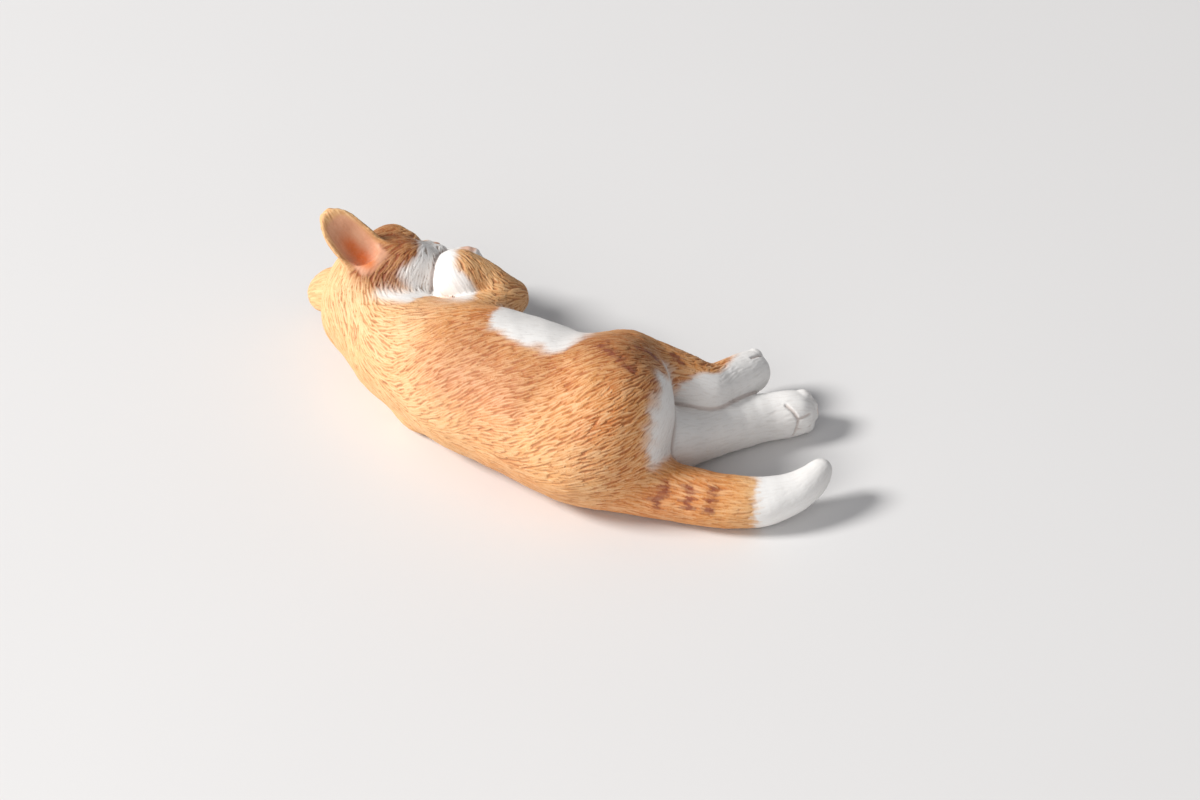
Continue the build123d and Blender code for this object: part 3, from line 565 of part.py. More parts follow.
right_foreleg = luted(
    right_foreleg_form, RIGHT_FORELEG_SEAT, ARM_STUB_DIAMETER, body_form, head_form
)
left_foreleg = luted(
    left_foreleg_form, LEFT_FORELEG_SEAT, ARM_STUB_DIAMETER,
    body_form, head_form, right_foreleg_form,
)
right_hind_leg = luted(
    right_hind_leg_form, RIGHT_HIND_LEG_SEAT, LEG_STUB_DIAMETER, body_form
)
left_hind_leg = luted(
    left_hind_leg_form, LEFT_HIND_LEG_SEAT, LEG_STUB_DIAMETER,
    body_form, right_hind_leg_form,
)
tail = luted(
    tail_form, TAIL_SEAT, TAIL_STUB_DIAMETER,
    body_form, right_hind_leg_form, left_hind_leg_form,
)

# ---------------------------------------------------------------- write one file per piece
pieces = {
    "body_shell": body_shell,
    "head": head,
    "right_ear": right_ear,
    "left_ear": left_ear,
    "right_foreleg": right_foreleg,
    "left_foreleg": left_foreleg,
    "right_hind_leg": right_hind_leg,
    "left_hind_leg": left_hind_leg,
    "tail": tail,
}
os.makedirs("parts", exist_ok=True)
for name, piece in pieces.items():
    box = piece.bounding_box()
    print(name, round(piece.volume), "mm3", box.min, box.max)
    export_step(piece, f"parts/{name}.step")
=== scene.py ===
import bpy, math
import numpy as np
from mathutils import Vector, Matrix


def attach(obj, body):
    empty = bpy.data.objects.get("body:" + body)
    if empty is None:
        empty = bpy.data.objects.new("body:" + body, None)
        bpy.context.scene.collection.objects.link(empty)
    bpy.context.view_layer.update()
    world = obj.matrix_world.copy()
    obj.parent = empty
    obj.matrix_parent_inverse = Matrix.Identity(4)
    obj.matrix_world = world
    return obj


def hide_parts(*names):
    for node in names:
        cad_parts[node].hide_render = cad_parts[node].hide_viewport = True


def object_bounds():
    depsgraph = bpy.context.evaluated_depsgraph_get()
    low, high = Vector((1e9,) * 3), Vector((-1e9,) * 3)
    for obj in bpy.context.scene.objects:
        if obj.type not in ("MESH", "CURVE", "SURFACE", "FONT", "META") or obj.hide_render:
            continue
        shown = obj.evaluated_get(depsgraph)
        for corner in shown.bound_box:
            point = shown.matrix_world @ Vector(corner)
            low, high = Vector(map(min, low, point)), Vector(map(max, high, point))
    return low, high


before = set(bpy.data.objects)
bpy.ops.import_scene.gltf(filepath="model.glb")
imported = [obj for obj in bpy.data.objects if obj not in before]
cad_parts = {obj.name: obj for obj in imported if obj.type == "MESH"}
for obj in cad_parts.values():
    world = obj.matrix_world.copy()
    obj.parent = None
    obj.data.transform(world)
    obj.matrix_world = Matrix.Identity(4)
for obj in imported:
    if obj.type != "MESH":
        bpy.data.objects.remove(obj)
import openvdb as vdb


def write_size():
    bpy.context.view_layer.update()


write_size()
MM = 0.001
F32 = np.float32
rng = np.random.default_rng(20)

# ------------------------------------------------------------------ distance-field shapes (mm)
def A(x, y, z):
    return np.array([x, y, z], float)


def nrm(v):
    v = np.asarray(v, float)
    return v / np.linalg.norm(v)


def smin(a, b, k):
    h = np.maximum(k - np.abs(a - b), 0) / k
    return np.minimum(a, b) - h * h * k * 0.25


def smax(a, b, k):
    return -smin(-a, -b, k)


def cone(p, a, b, r1, r2):
    a = np.asarray(a, float); b = np.asarray(b, float)
    ba = b - a; l2 = float(ba @ ba)
    pa = p - a.astype(F32)
    t = np.clip((pa @ ba.astype(F32)) / l2, 0, 1)
    q = pa - t[:, None] * ba.astype(F32)
    return np.sqrt((q * q).sum(1)) - (r1 + t * (r2 - r1))


def ball(p, c, r):
    q = p - np.asarray(c, F32)
    return np.sqrt((q * q).sum(1)) - r


def ell(p, c, radii, fr=None):
    q = p - np.asarray(c, F32)
    if fr is not None:
        q = q @ np.asarray(fr, F32).T
    radii = np.asarray(radii, F32)
    u = q / radii
    k0 = np.sqrt((u * u).sum(1))
    v = u / radii
    k1 = np.sqrt((v * v).sum(1))
    return k0 * (k0 - 1) / np.maximum(k1, 1e-9)


def catmull(pts, n):
    pts = np.asarray(pts, float); m = len(pts)
    ext = np.vstack([2 * pts[0] - pts[1], pts, 2 * pts[-1] - pts[-2]])
    out = []
    for i in range(m - 1):
        p0, p1, p2, p3 = ext[i], ext[i + 1], ext[i + 2], ext[i + 3]
        for j in range(n):
            t = j / n
            out.append(0.5 * ((2 * p1) + (-p0 + p2) * t + (2 * p0 - 5 * p1 + 4 * p2 - p3) * t * t
                              + (-p0 + 3 * p1 - 3 * p2 + p3) * t ** 3))
    out.append(pts[-1])
    return np.array(out)


def chain(p, pts, n=4, k=0.6):
    c = catmull(pts, n); d = None
    for a, b in zip(c[:-1], c[1:]):
        e = cone(p, a[:3], b[:3], a[3], b[3])
        d = e if d is None else smin(d, e, k)
    return d


# ------------------------------------------------------------------ the cat's own directions
# t: along the trunk to the head, n: back to belly, z: up; head: f face, c crown, l towards its right ear
t = nrm([-0.9954, 0.0962, 0.0]); n = nrm([0.0962, 0.9954, 0.0]); z = A(0, 0, 1)


def fr(ang):
    a = math.radians(ang)
    return np.array([math.cos(a) * t + math.sin(a) * n, -math.sin(a) * t + math.cos(a) * n, z])


l = nrm([0.2193, -0.2198, 0.95]); c0 = A(-0.8489, 0.1103, 0.25)
c = nrm(c0 - (c0 @ l) * l); f = np.cross(c, l)
HF = np.array([f, c, l])
H = A(-43.76, 2.5, 17.0)


def hl(a, b, cc):
    return H + a * f + b * c + cc * l


def torso(p):
    d = ell(p, A(20.57, -12.54, 13.0), (14.5, 16.0, 13.2), fr(-12))
    d = smin(d, ell(p, A(10.85, -11.29, 14.0), (17, 17.2, 14.0), fr(-6)), 9)
    d = smin(d, ell(p, A(-3.71, -10.07, 14.2), (19, 17.5, 14.2), fr(0)), 9)
    d = smin(d, ell(p, A(-16.75, -10.5, 13.4), (17, 14.0, 13.2), fr(8)), 9)
    d = smin(d, ell(p, A(-29.0, -8.3, 12.4), (13, 11.0, 11.6), fr(20)), 7)
    d = smin(d, ell(p, A(-22.0, -16.2, 4.2), (6.5, 4.6, 4.2), fr(0)), 2.5)
    return d


def neck(p):
    return cone(p, A(-32.97, -8.3, 12.4), A(-43.35, -2.9, 14.0), 10.2, 11.0)


def head(p):
    d = ell(p, hl(-0.6, 0.2, 0), (12.2, 11.4, 12.0), HF)
    for s in (1, -1):
        d = smin(d, ball(p, hl(4, -4.0, 6.2 * s), 6.8), 4)
        d = smin(d, ball(p, hl(7.5, 4.2, 4.3 * s), 4.8), 3)
    d = smin(d, ell(p, hl(10, -4.0, 0), (5.2, 4.6, 5.8), HF), 4)
    d = smin(d, cone(p, hl(7, 2.2, 0), hl(14.0, -0.6, 0), 3.8, 2.6), 2.0)
    for s in (1, -1):
        d = smin(d, ell(p, hl(12.3, -4.4, 2.5 * s), (3.6, 3.0, 3.2), HF), 1.2)
        d = smin(d, ell(p, hl(9.6, 1.2, 5.6 * s), (2.4, 2.2, 3.0), HF), 1.6)
    d = smin(d, ell(p, hl(11, -7.8, 0), (3.2, 2.6, 3.2), HF), 1.2)
    d = smin(d, ell(p, hl(15.9, -1.5, 0), (1.5, 1.1, 1.9), HF), 0.7)
    return d


EAR_B = A(-45.4, 0.4, 25.6); EAR_T = A(-54.2, -2.4, 36.8)
ear_ax = nrm(EAR_T - EAR_B); ear_side = nrm(np.cross(ear_ax, [0.52, -0.50, 0.45])); ear_n = np.cross(ear_side, ear_ax)
EARF = np.array([ear_ax, ear_side, ear_n]); EAR_L = float(np.linalg.norm(EAR_T - EAR_B))


def ear_uv(p):
    q = p - EAR_B
    return q @ ear_ax, q @ ear_side, q @ ear_n


def ear_width(a):
    return 4.9 * (1.0 - np.exp(-(np.maximum(EAR_L - a, -0.5) + 0.7) / 2.7))


def ear_r(p):
    a, b, e = ear_uv(p)
    hw = ear_width(a)
    lateral = np.maximum((np.abs(b) - hw) * 0.85, a - EAR_L)
    sheet = np.abs(e - (2.4 * (b / 4.9) ** 2 - 1.2)) * 0.85 - 0.95
    d = smax(lateral, sheet, 1.1)
    return smax(d, -a - 4.0, 0.5)


def ear_bowl(p):
    return ell(p, EAR_B + ear_ax * 5.0 + ear_n * 2.1, (6.0, 3.5, 2.6), EARF)


EL_B = A(-54.37, 4.54, 11.0); EL_T = A(-62.59, 4.28, 8.0)
el_ax = nrm(EL_T - EL_B); el_side = nrm(np.cross(el_ax, [-0.0768, 0.533, -0.8])); el_n = np.cross(el_side, el_ax)
ELF = np.array([el_ax, el_side, el_n]); EL_C = (EL_B + EL_T) / 2; EL_L = float(np.linalg.norm(EL_T - EL_B))


def ear_l(p):
    d = ell(p, EL_C, (EL_L / 2 + 3, 5.6, 3.2), ELF)
    cav = ell(p, EL_C + el_n * 3.0 + el_ax * 0.8, (EL_L / 2 + 1.6, 4.2, 3.0), ELF)
    return smax(d, -cav, 0.8)


def toes(p, d, centre, ahead, side, r, k=0.35):
    ahead = nrm(ahead); side = nrm(side - (side @ ahead) * ahead)
    for i in range(4):
        s = (i - 1.5)
        q = centre + ahead * (r * (0.74 - 0.10 * s * s)) + side * (s * r * 0.37)
        d = smin(d, ball(p, q, r * 0.43), k)
    return d


def arm_r(p):
    up = chain(p, [(-22.92, -9.1, 17.0, 8), (-19.41, -0.85, 18.5, 6.2), (-17.12, 6.56, 18.5, 4.6), (-15.38, 11.67, 18.5, 3.2)], 3)
    fo = chain(p, [(-16.1, 13.28, 18.8, 2.9), (-18.91, 10.81, 20.2, 4.1), (-23.06, 10.08, 21.3, 5.1), (-25.72, 8.17, 22.1, 6.1)], 3)
    fo = smin(fo, ell(p, A(-27.88, 7.49, 22.0), (4.8, 6.6, 6.6), PAWR), 2.5)
    fo = smin(fo, chain(p, [(-30.11, 10.89, 20.0, 5.4), (-34.59, 17.25, 15.5, 4.7), (-38.36, 22.13, 12.0, 4.2)], 3), 2.5)
    fo = toes(p, fo, A(-38.36, 22.13, 12.0), A(-0.56, 0.72, -0.42), A(0.3, 0.6, 0.75), 4.4)
    return smin(up, fo, 1.0)


ca, sa = math.cos(math.radians(30)), math.sin(math.radians(30))
PAWR = np.array([[ca, sa, 0], [-sa, ca, 0], [0, 0, 1.0]])


def arm_l(p):
    up = chain(p, [(-32.1, 6.12, 7.0, 7), (-28.95, 17.02, 6.5, 5.5), (-26.24, 21.22, 7.0, 4.6)], 3)
    fo = chain(p, [(-26.24, 21.22, 7.0, 4.6), (-30.33, 21.95, 9.5, 4.2), (-32.75, 21.36, 13.5, 3.8), (-33.22, 21.02, 16.5, 3.2)], 3)
    fo = toes(p, fo, A(-33.2, 21.0, 16.4), A(-0.1, -0.15, 1.0), A(0.8, 0.5, 0.0), 3.3)
    return smin(up, fo, 1.5)


def thigh_r(p):
    d = ell(p, A(19.56, -9.1, 18.0), (13.5, 16, 12.5), fr(-25))
    return smin(d, cone(p, A(20.54, -8.72, 19.5), A(17.63, 2.33, 18.0), 11, 8.8), 5)


def shin_r(p):
    s = chain(p, [(17.04, 4.24, 17.5, 8), (25.02, 9.26, 15.0, 6.2), (32.2, 12.28, 12.2, 5.2)], 3)
    fo = chain(p, [(32.04, 11.69, 12.0, 5.2), (34.48, 19.07, 10.5, 4.8), (35.74, 25.64, 9.0, 4.7)], 3)
    fo = toes(p, fo, A(35.74, 25.64, 9.0), A(0.19, 0.97, -0.2), A(-0.3, 0.2, 0.93), 4.7)
    return smin(s, fo, 1.5)


def leg_l(p):
    d = chain(p, [(28.45, -4.2, 8.5, 8), (34.54, 4.64, 6.2, 5.8), (42.69, 16.78, 5.2, 5.1), (48.28, 22.4, 5.0, 5)], 4)
    return toes(p, d, A(48.28, 22.4, 5.0), A(0.68, 0.73, 0.0), A(-0.3, 0.28, 0.91), 5.0)


TAIL = [(21.91, -16.1, 8.5, 7.5), (31.31, -15.72, 6.8, 6.5), (39.49, -13.27, 5.9, 5.9), (47.58, -10.74, 5.4, 5.5),
        (54.9, -6.9, 5.2, 5.1), (59.7, -2.6, 6.0, 4.2), (62.5, 1.9, 7.3, 3.3), (63.3, 5.4, 8.6, 2.3)]


def tail(p):
    return chain(p, TAIL, 4)


PARTS = {"torso": torso, "neck": neck, "head": head, "ear_r": ear_r, "ear_l": ear_l, "arm_r": arm_r, "arm_l": arm_l,
         "thigh_r": thigh_r, "shin_r": shin_r, "leg_l": leg_l, "tail": tail}
KEYS = list(PARTS)
NODE_OF = {"torso": "body_shell", "neck": "body_shell", "head": "head", "ear_r": "right_ear", "ear_l": "left_ear",
           "arm_r": "right_foreleg", "arm_l": "left_foreleg", "thigh_r": "right_hind_leg", "shin_r": "right_hind_leg",
           "leg_l": "left_hind_leg", "tail": "tail"}
VENT = (4.0, -17.0, 3.0)


def field(p):
    v = {k: fn(p) for k, fn in PARTS.items()}
    d = smin(v["torso"], v["neck"], 5)
    d = smin(d, v["thigh_r"], 3.5)
    d = smin(d, v["head"], 2.5)
    d = smin(d, v["tail"], 4)
    d = smin(d, v["leg_l"], 1.5)
    d = smin(d, v["shin_r"], 1.6)
    d = smin(d, v["arm_l"], 1.5)
    d = smin(d, v["arm_r"], 1.2)
    d = smin(d, v["ear_r"], 1.8)
    d = smin(d, v["ear_l"], 1.8)
    d = smax(d, -ear_bowl(p), 1.0)
    d = smax(d, -p[:, 2], 0.8)
    hole = np.maximum(np.sqrt((p[:, 0] - VENT[0]) ** 2 + (p[:, 1] - VENT[1]) ** 2) - VENT[2], p[:, 2] - 6.0)
    d = smax(d, -hole, 0.6)
    return d, v


def in_chunks(fn, p, size=200000):
    out = [fn(p[i:i + size]) for i in range(0, len(p), size)]
    d = np.concatenate([o[0] for o in out])
    return d, {k: np.concatenate([o[1][k] for o in out]) for k in out[0][1]}


# ------------------------------------------------------------------ one skin over the whole cat
LO, HI, VOX = A(-68, -33, -2), A(68, 33, 40), 0.8


def extract():
    m = np.ceil((HI - LO) / VOX).astype(int)
    # coarse pass first, so that the fine grid is only worked out near the surface
    step = 4
    cx = [LO[i] + VOX * (np.arange(0, m[i], step) + (step - 1) / 2) for i in range(3)]
    g = np.stack(np.meshgrid(*cx, indexing="ij"), -1).reshape(-1, 3).astype(F32)
    d = in_chunks(field, g)[0].reshape([len(q) for q in cx])
    near = np.abs(d) < VOX * step * 1.35
    full = np.repeat(np.repeat(np.repeat(d, step, 0), step, 1), step, 2)[:m[0], :m[1], :m[2]].astype(F32)
    want = np.repeat(np.repeat(np.repeat(near, step, 0), step, 1), step, 2)[:m[0], :m[1], :m[2]]
    idx = np.argwhere(want)
    full[want] = in_chunks(field, (idx * VOX + LO).astype(F32))[0]
    grid = vdb.FloatGrid(); grid.background = 10.0
    grid.copyFromArray(full)
    pts, quads = grid.convertToQuads(isovalue=0.0)
    return pts * VOX + LO, quads.astype(np.int32)


def mesh_from(pts, faces, name="skin"):
    me = bpy.data.meshes.new(name)
    me.vertices.add(len(pts)); me.vertices.foreach_set("co", np.ascontiguousarray(pts, F32).ravel())
    k = faces.shape[1]
    me.loops.add(len(faces) * k); me.loops.foreach_set("vertex_index", np.ascontiguousarray(faces, np.int32).ravel())
    me.polygons.add(len(faces))
    me.polygons.foreach_set("loop_start", np.arange(0, len(faces) * k, k, dtype=np.int32))
    me.update(calc_edges=True)
    return me


def read_mesh(me):
    p = np.empty(len(me.vertices) * 3, F32); me.vertices.foreach_get("co", p)
    q = np.empty(len(me.loops), np.int32); me.loops.foreach_get("vertex_index", q)
    return p.reshape(-1, 3), q.reshape(-1, 4)


def subdivide(pts, faces):
    me = mesh_from(pts, faces)
    ob = bpy.data.objects.new("tmp", me); bpy.context.scene.collection.objects.link(ob)
    mod = ob.modifiers.new("s", "SUBSURF"); mod.levels = 1; mod.render_levels = 1
    dg = bpy.context.evaluated_depsgraph_get()
    ev = bpy.data.meshes.new_from_object(ob.evaluated_get(dg))
    out = read_mesh(ev)
    bpy.data.objects.remove(ob); bpy.data.meshes.remove(me); bpy.data.meshes.remove(ev)
    return out


def project(p, rounds=2, e=0.05):
    for _ in range(rounds):
        d = in_chunks(field, p)[0]
        g = np.stack([in_chunks(field, p + np.eye(3, dtype=F32)[i] * e)[0] - d for i in range(3)], 1) / e
        gg = np.maximum((g * g).sum(1), 0.25)
        p = (p - np.clip(d, -0.6, 0.6)[:, None] * g / gg[:, None]).astype(F32)
    return p


def vertex_normals(p, q):
    a = p[q[:, 2]] - p[q[:, 0]]; b = p[q[:, 3]] - p[q[:, 1]]
    fn = np.cross(a, b)
    out = np.zeros_like(p)
    for i in range(4):
        for k in range(3):
            out[:, k] += np.bincount(q[:, i], fn[:, k], len(p))
    return out / np.maximum(np.linalg.norm(out, axis=1), 1e-9)[:, None]


# ------------------------------------------------------------------ build the skin
def sstep(a, b, x):
    u = np.clip((x - a) / (b - a), 0, 1)
    return u * u * (3 - 2 * u)


def pinterp(x, xs, ys):
    return np.interp(x, xs, ys)


def wave(p, k, seed):
    """Smooth pseudo-random field between about -1 and 1, wavelength about k mm."""
    r = np.random.default_rng(seed)
    out = np.zeros(len(p))
    for _ in range(5):
        d = nrm(r.normal(size=3)) * (2 * math.pi / (k * r.uniform(0.7, 1.5)))
        out += np.sin(p @ d + r.uniform(0, 6.28))
    return out / 3.0


def parts_min(v):
    m = np.stack([v[k] for k in KEYS], 1)
    return m, m.min(1)


def flow(p, N, v):
    """Unit tangent in which the hair lies, root to tip."""
    m, lo = parts_min(v)
    w = np.exp(-(m - lo[:, None]) / 1.0)
    q = p - H
    la, lb = q @ f, q @ c
    out = np.zeros_like(p, dtype=float)
    D = {}

    def comb(deg):
        deg = np.radians(np.broadcast_to(np.asarray(deg, float), (len(p),)))[:, None]
        return np.cos(deg) * A(0.866, 0.5, 0.0) + np.sin(deg) * A(-0.321, 0.557, 0.766)
    low = sstep(15.0, 6.0, p[:, 2])
    along = np.interp(p[:, 0], [-46, -38, -31, -25, -18, -6, 4, 12, 20, 30], [-62, -50, -26, 2, 18, 22, 8, 16, 24, 26])
    D["torso"] = comb(along - low * np.interp(p[:, 0], [-40, -20, 0, 20], [10, 30, 18, 14]))
    D["neck"] = comb(along - 6)
    D["head"] = comb(228 + 20 * sstep(-2.0, -7.0, lb)) * sstep(-7.0, -2.0, la)[:, None] + comb(250) * sstep(-2.0, -7.0, la)[:, None]
    D["ear_r"] = np.broadcast_to(ear_ax, p.shape)
    D["ear_l"] = np.broadcast_to(el_ax, p.shape)
    fore = sstep(18.0, 20.5, p[:, 2]) * sstep(-15.0, -20.0, p[:, 0])
    paw = sstep(-24.0, -28.0, p[:, 0])
    D["arm_r"] = comb(16) * (1 - fore)[:, None] + comb(-58) * fore[:, None]
    D["arm_l"] = np.broadcast_to(A(0.1, 0.5, 0.85), p.shape)
    D["thigh_r"] = comb(29)
    D["shin_r"] = A(0.75, 0.5, -0.2)[None] * sstep(14, 10, p[:, 1])[:, None] + A(0.19, 0.97, -0.2)[None] * sstep(10, 14, p[:, 1])[:, None]
    D["leg_l"] = np.broadcast_to(A(0.62, 0.74, -0.1), p.shape)
    tp = catmull(TAIL, 4)[:, :3]
    tt = np.gradient(tp, axis=0); tt /= np.linalg.norm(tt, axis=1)[:, None]
    s = np.interp(p[:, 0] + 0.6 * p[:, 1], tp[:, 0] + 0.6 * tp[:, 1], np.arange(len(tp)))
    D["tail"] = np.stack([np.interp(s, np.arange(len(tp)), tt[:, i]) for i in range(3)], 1)
    for i, k in enumerate(KEYS):
        out += w[:, i:i + 1] * D[k]
    out -= (out * N).sum(1)[:, None] * N
    ln = np.linalg.norm(out, axis=1)
    side = np.cross(N, np.broadcast_to(z, p.shape))
    out = np.where(ln[:, None] < 0.05, side, out)
    out /= np.maximum(np.linalg.norm(out, axis=1), 1e-6)[:, None]
    a = np.radians(8 * wave(p, 9.0, 3) + 5 * wave(p, 3.2, 4))[:, None]
    return out * np.cos(a) + np.cross(N, out) * np.sin(a)


def masks(p, v):
    """Where the paint changes colour, and where shade and highlight are painted in (brown, pale). All in the object's
    own millimetres.
    """
    m, lo = parts_min(v)
    w = np.exp(-(m - lo[:, None]) / 0.55); w /= w.sum(1)[:, None]
    W = {k: w[:, i] for i, k in enumerate(KEYS)}
    x, y, zz = p[:, 0], p[:, 1], p[:, 2]
    q = p - H
    la, lb, lc = q @ f, q @ c, q @ l
    j = 0.9 * wave(p, 5.0, 11)
    yb = pinterp(x, [-40, -33, -29.5, -27, -22, -18, -12, -9, -7, 2.4, 8.4, 10.5, 12, 14, 20, 27],
                 [-8, -9, -7, 4, 9, 9, 2, -8.5, -11, -11.4, -12, -9.7, -4.5, 1, 3, 3])
    w_torso = sstep(-1.8, 1.8, y - yb + j)
    xb = np.minimum(30.9 - 0.3 * (y + 7.3), 33.0)
    rear = sstep(-1.8, 1.6, x - xb + j) * sstep(-18.8, -15.6, y + 0.5 * j)
    w_torso = np.maximum(w_torso, rear)
    bb = pinterp(la, [-7, -5.5, -2, 1.1, 4.6, 8, 11, 13, 20], [-9, -5.6, -4.9, -5.6, -6.2, -3.4, -0.6, 0.9, 0.9])
    w_head = sstep(0.9, -0.9, lb - bb + 0.5 * j) * sstep(-2.6, 0.6, la + 0.5 * j)
    w_neck = np.maximum(w_head, sstep(-1.2, 1.2, y + 8.5 + j) * sstep(-40.5, -37, x) * sstep(4, 0, np.abs(lb + 12) - 8))
    u = 0.866 * x + 0.5 * y
    w_arm = sstep(0.9, -0.9, u - (-18.3 - 0.9 * (zz - 27)) + 0.5 * j)
    ybs = pinterp(x, [22, 27.7, 31.5, 35, 36, 40], [-6, 2.0, 9.1, 14.4, 30, 60])
    w_shin = 1 - sstep(-1.0, 1.0, y - ybs + 0.6 * j) * sstep(12.0, 15.0, zz) * sstep(36.0, 33.8, x + 0.15 * (y - 13))
    w_tail = sstep(-1.3, 1.1, 0.85 * x + 0.5 * y - 43.0 + 1.0 * j + 0.5 * wave(p, 1.8, 12))
    under = sstep(0.5, 4.0, y + 0.5 * j) * sstep(18.5, 14.0, zz + 0.5 * j)
    w_torso = np.maximum(w_torso, under); w_neck = np.maximum(w_neck, under * sstep(-46.0, -40.0, x))
    w_arm = np.maximum(w_arm, under)
    white = (W["thigh_r"] * np.maximum(under - rear, 0) + W["torso"] * w_torso + W["neck"] * w_neck + W["head"] * w_head + W["arm_r"] * w_arm + W["arm_l"]
             + W["thigh_r"] * rear + W["shin_r"] * w_shin + W["leg_l"] + W["tail"] * w_tail)
    # darker, redder brown over the temple and forehead, and on the haunch and flank; over the temple and haunch, which
    # face away from the key light, this is partly painted shade
    def blob(cx, r, soft):
        return sstep(r + soft, r - soft, np.linalg.norm(p - np.asarray(cx), axis=1))
    brown = 1.0 * blob(A(-40.8, 1.2, 29.0), 9.0, 2.2) * (W["head"] + W["neck"])
    brown = np.maximum(brown, 0.8 * blob(A(-48.0, 5.0, 28.0), 6.5, 3.0) * W["head"])
    brown = np.maximum(brown, 0.15 * sstep(14, 19.5, y + 0.35 * (x + 20)) * W["arm_r"])
    brown = np.maximum(brown, 0.62 * blob(A(20.0, -3.5, 27.0), 11.0, 6.0))
    brown = np.maximum(brown, 0.35 * blob(A(-9.0, -19.0, 27.0), 10.0, 7.0))
    brown = np.maximum(brown, 0.35 * blob(A(6.0, -18.0, 27.0), 9.0, 6.0))
    # paler, yellower along the nape and the low back, the sides that face the lights: partly paler paint, partly
    # painted highlight
    pale = np.clip(sstep(-8.0, -34.0, x + 0.6 * (y + 12)) * 0.9 + 0.45 * sstep(-22.0, -29.0, y), 0, 1)
    pale = np.maximum.reduce([pale, W["ear_l"], 0.55 * W["arm_r"], 0.7 * W["tail"] * sstep(-6.5, -0.5, 0.85 * x + 0.5 * y - 43.0 + j)])
    pale = np.clip(pale - 1.2 * brown, 0, 1) * (1 - 0.6 * W["head"] * sstep(24.0, 29.0, zz))
    # painted tabby marks
    def seg(a, b, r):
        return sstep(r + 0.35, r - 0.35, cone(p, a, b, 0.0001, 0.0001) + 0.35 * wave(p, 1.6, 21))
    mark = np.zeros(len(p))
    for a, b, r in (((16.8, -6.4, 31.1), (22.4, -8.7, 31.5), 0.75), ((22.4, -8.7, 31.5), (27.1, -9.6, 29.8), 0.75),
                    ((22.3, -0.5, 29.2), (26.4, 1.1, 26.0), 0.75), ((25.8, 8.8, 21.7), (28.4, 8.6, 20.3), 0.6),
                    ((14.5, -2.5, 30.2), (17.5, -4.0, 31.0), 0.5),
                    ((38.6, -17.6, 11.2), (38.0, -19.8, 7.2), 1.15), ((37.2, -17.0, 11.0), (39.9, -18.5, 9.5), 0.5),
                    ((43.4, -15.4, 10.9), (44.2, -17.6, 7.6), 0.85), ((47.7, -13.4, 10.6), (48.6, -16.0, 7.2), 1.0)):
        mark = np.maximum(mark, seg(a, b, r) * 1.0)
    # pink: the ear's inside, nose leather, toe and sole pads
    ea, es, en = ear_uv(p)
    hw = ear_width(ea)
    inside = sstep(-0.3, 0.5, en - (2.4 * (es / 4.9) ** 2 - 1.2)) * sstep(0.2, -1.0, np.abs(es) - hw + 0.8) * sstep(-1.5, 0.5, ea) * sstep(EAR_L - 0.2, EAR_L - 1.8, ea)
    bowl = sstep(0.5, -0.2, ear_bowl(p)) * sstep(3.7, 2.6, es)
    inear = np.clip(np.maximum(inside, bowl), 0, 1) * np.clip(W["ear_r"] + W["head"], 0, 1) * sstep(9.0, 7.5, np.linalg.norm(p - EAR_B - ear_ax * 4.0, axis=1))
    pink = 0.9 * inear
    ear_deep = inear * sstep(9.5, 4.5, ea) * sstep(-1.5, 1.0, ea) * sstep(2.6, 0.2, np.abs(es + 0.9))
    tuft = blob(EAR_B + ear_ax * 0.6 - ear_side * 2.6, 1.5, 1.4) * (1 - bowl)
    white = np.maximum(white, 0.85 * tuft)
    eel = sstep(0.6, -0.4, ell(p, EL_C + el_n * 3.0 + el_ax * 0.8, (EL_L / 2 + 1.6, 4.2, 3.0), ELF) - 0.45) * W["ear_l"]
    pink = np.maximum(pink, 0.8 * eel)
    nose = sstep(0.35, -0.25, ell(p, hl(15.9, -1.5, 0), (1.9, 1.3, 2.1), HF))
    pink = np.maximum(pink, nose)
    pads = np.maximum(sstep(0.8, -0.4, ball(p, A(37.4, 30.8, 7.6), 1.6)), sstep(0.8, -0.4, ball(p, A(53.4, 27.2, 5.0), 1.6)))
    pads = np.maximum(pads, sstep(0.8, -0.4, ball(p, A(-33.2, 21.5, 20.0), 1.7)))
    return {"white": np.clip(white, 0, 1), "brown": np.clip(brown, 0, 1), "pale": pale, "mark": mark,
            "pink": np.clip(pink, 0, 1), "pads": pads, "nose": nose, "ear_deep": ear_deep}


def lines_dist(p, polylines):
    d = np.full(len(p), 9.0)
    for pts in polylines:
        for a, b in zip(pts[:-1], pts[1:]):
            near = np.linalg.norm(p - (np.asarray(a) + np.asarray(b)) / 2, axis=1) < 6
            if near.any():
                d[near] = np.minimum(d[near], cone(p[near].astype(F32), a, b, 0.0001, 0.0001))
    return d


# closed eyes, mouth, and the creases between toes
EYES = [[hl(12.0, 0.6, 3.6 * s), hl(11.2, -0.2, 4.8 * s), hl(10.4, -0.3, 6.2 * s), hl(9.2, 0.4, 7.8 * s)] for s in (1, -1)]
MOUTH = [[hl(16.4, -2.4, 0), hl(15.9, -4.6, 0)],
         [hl(15.9, -4.6, 0), hl(15.2, -6.2, 1.6), hl(13.8, -6.6, 3.6)], [hl(15.9, -4.6, 0), hl(15.2, -6.2, -1.6), hl(13.8, -6.6, -3.6)]]

TOES = [[A(48.21, 18.99, 9.65), A(50.06, 18.91, 8.67), A(51.32, 18.88, 7.09), A(51.2, 18.19, 4.68), A(50.26, 18.52, 2.15)],
        [A(51.32, 18.88, 7.09), A(53.2, 22.2, 7.4)], [A(51.2, 18.19, 4.68), A(53.0, 21.6, 4.2)],
        [A(36.6, 24.9, 13.9), A(37.4, 28.6, 12.6)]]

pts, quads = extract()
lo_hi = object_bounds()
P0, Q0 = pts, quads
P1, Q1 = subdivide(P0, Q0)
P1 = project(P1)
P2, Q2 = subdivide(P1, Q1)
N2 = vertex_normals(P2, Q2)
_, V2 = in_chunks(field, P2)
M2 = masks(P2, V2)

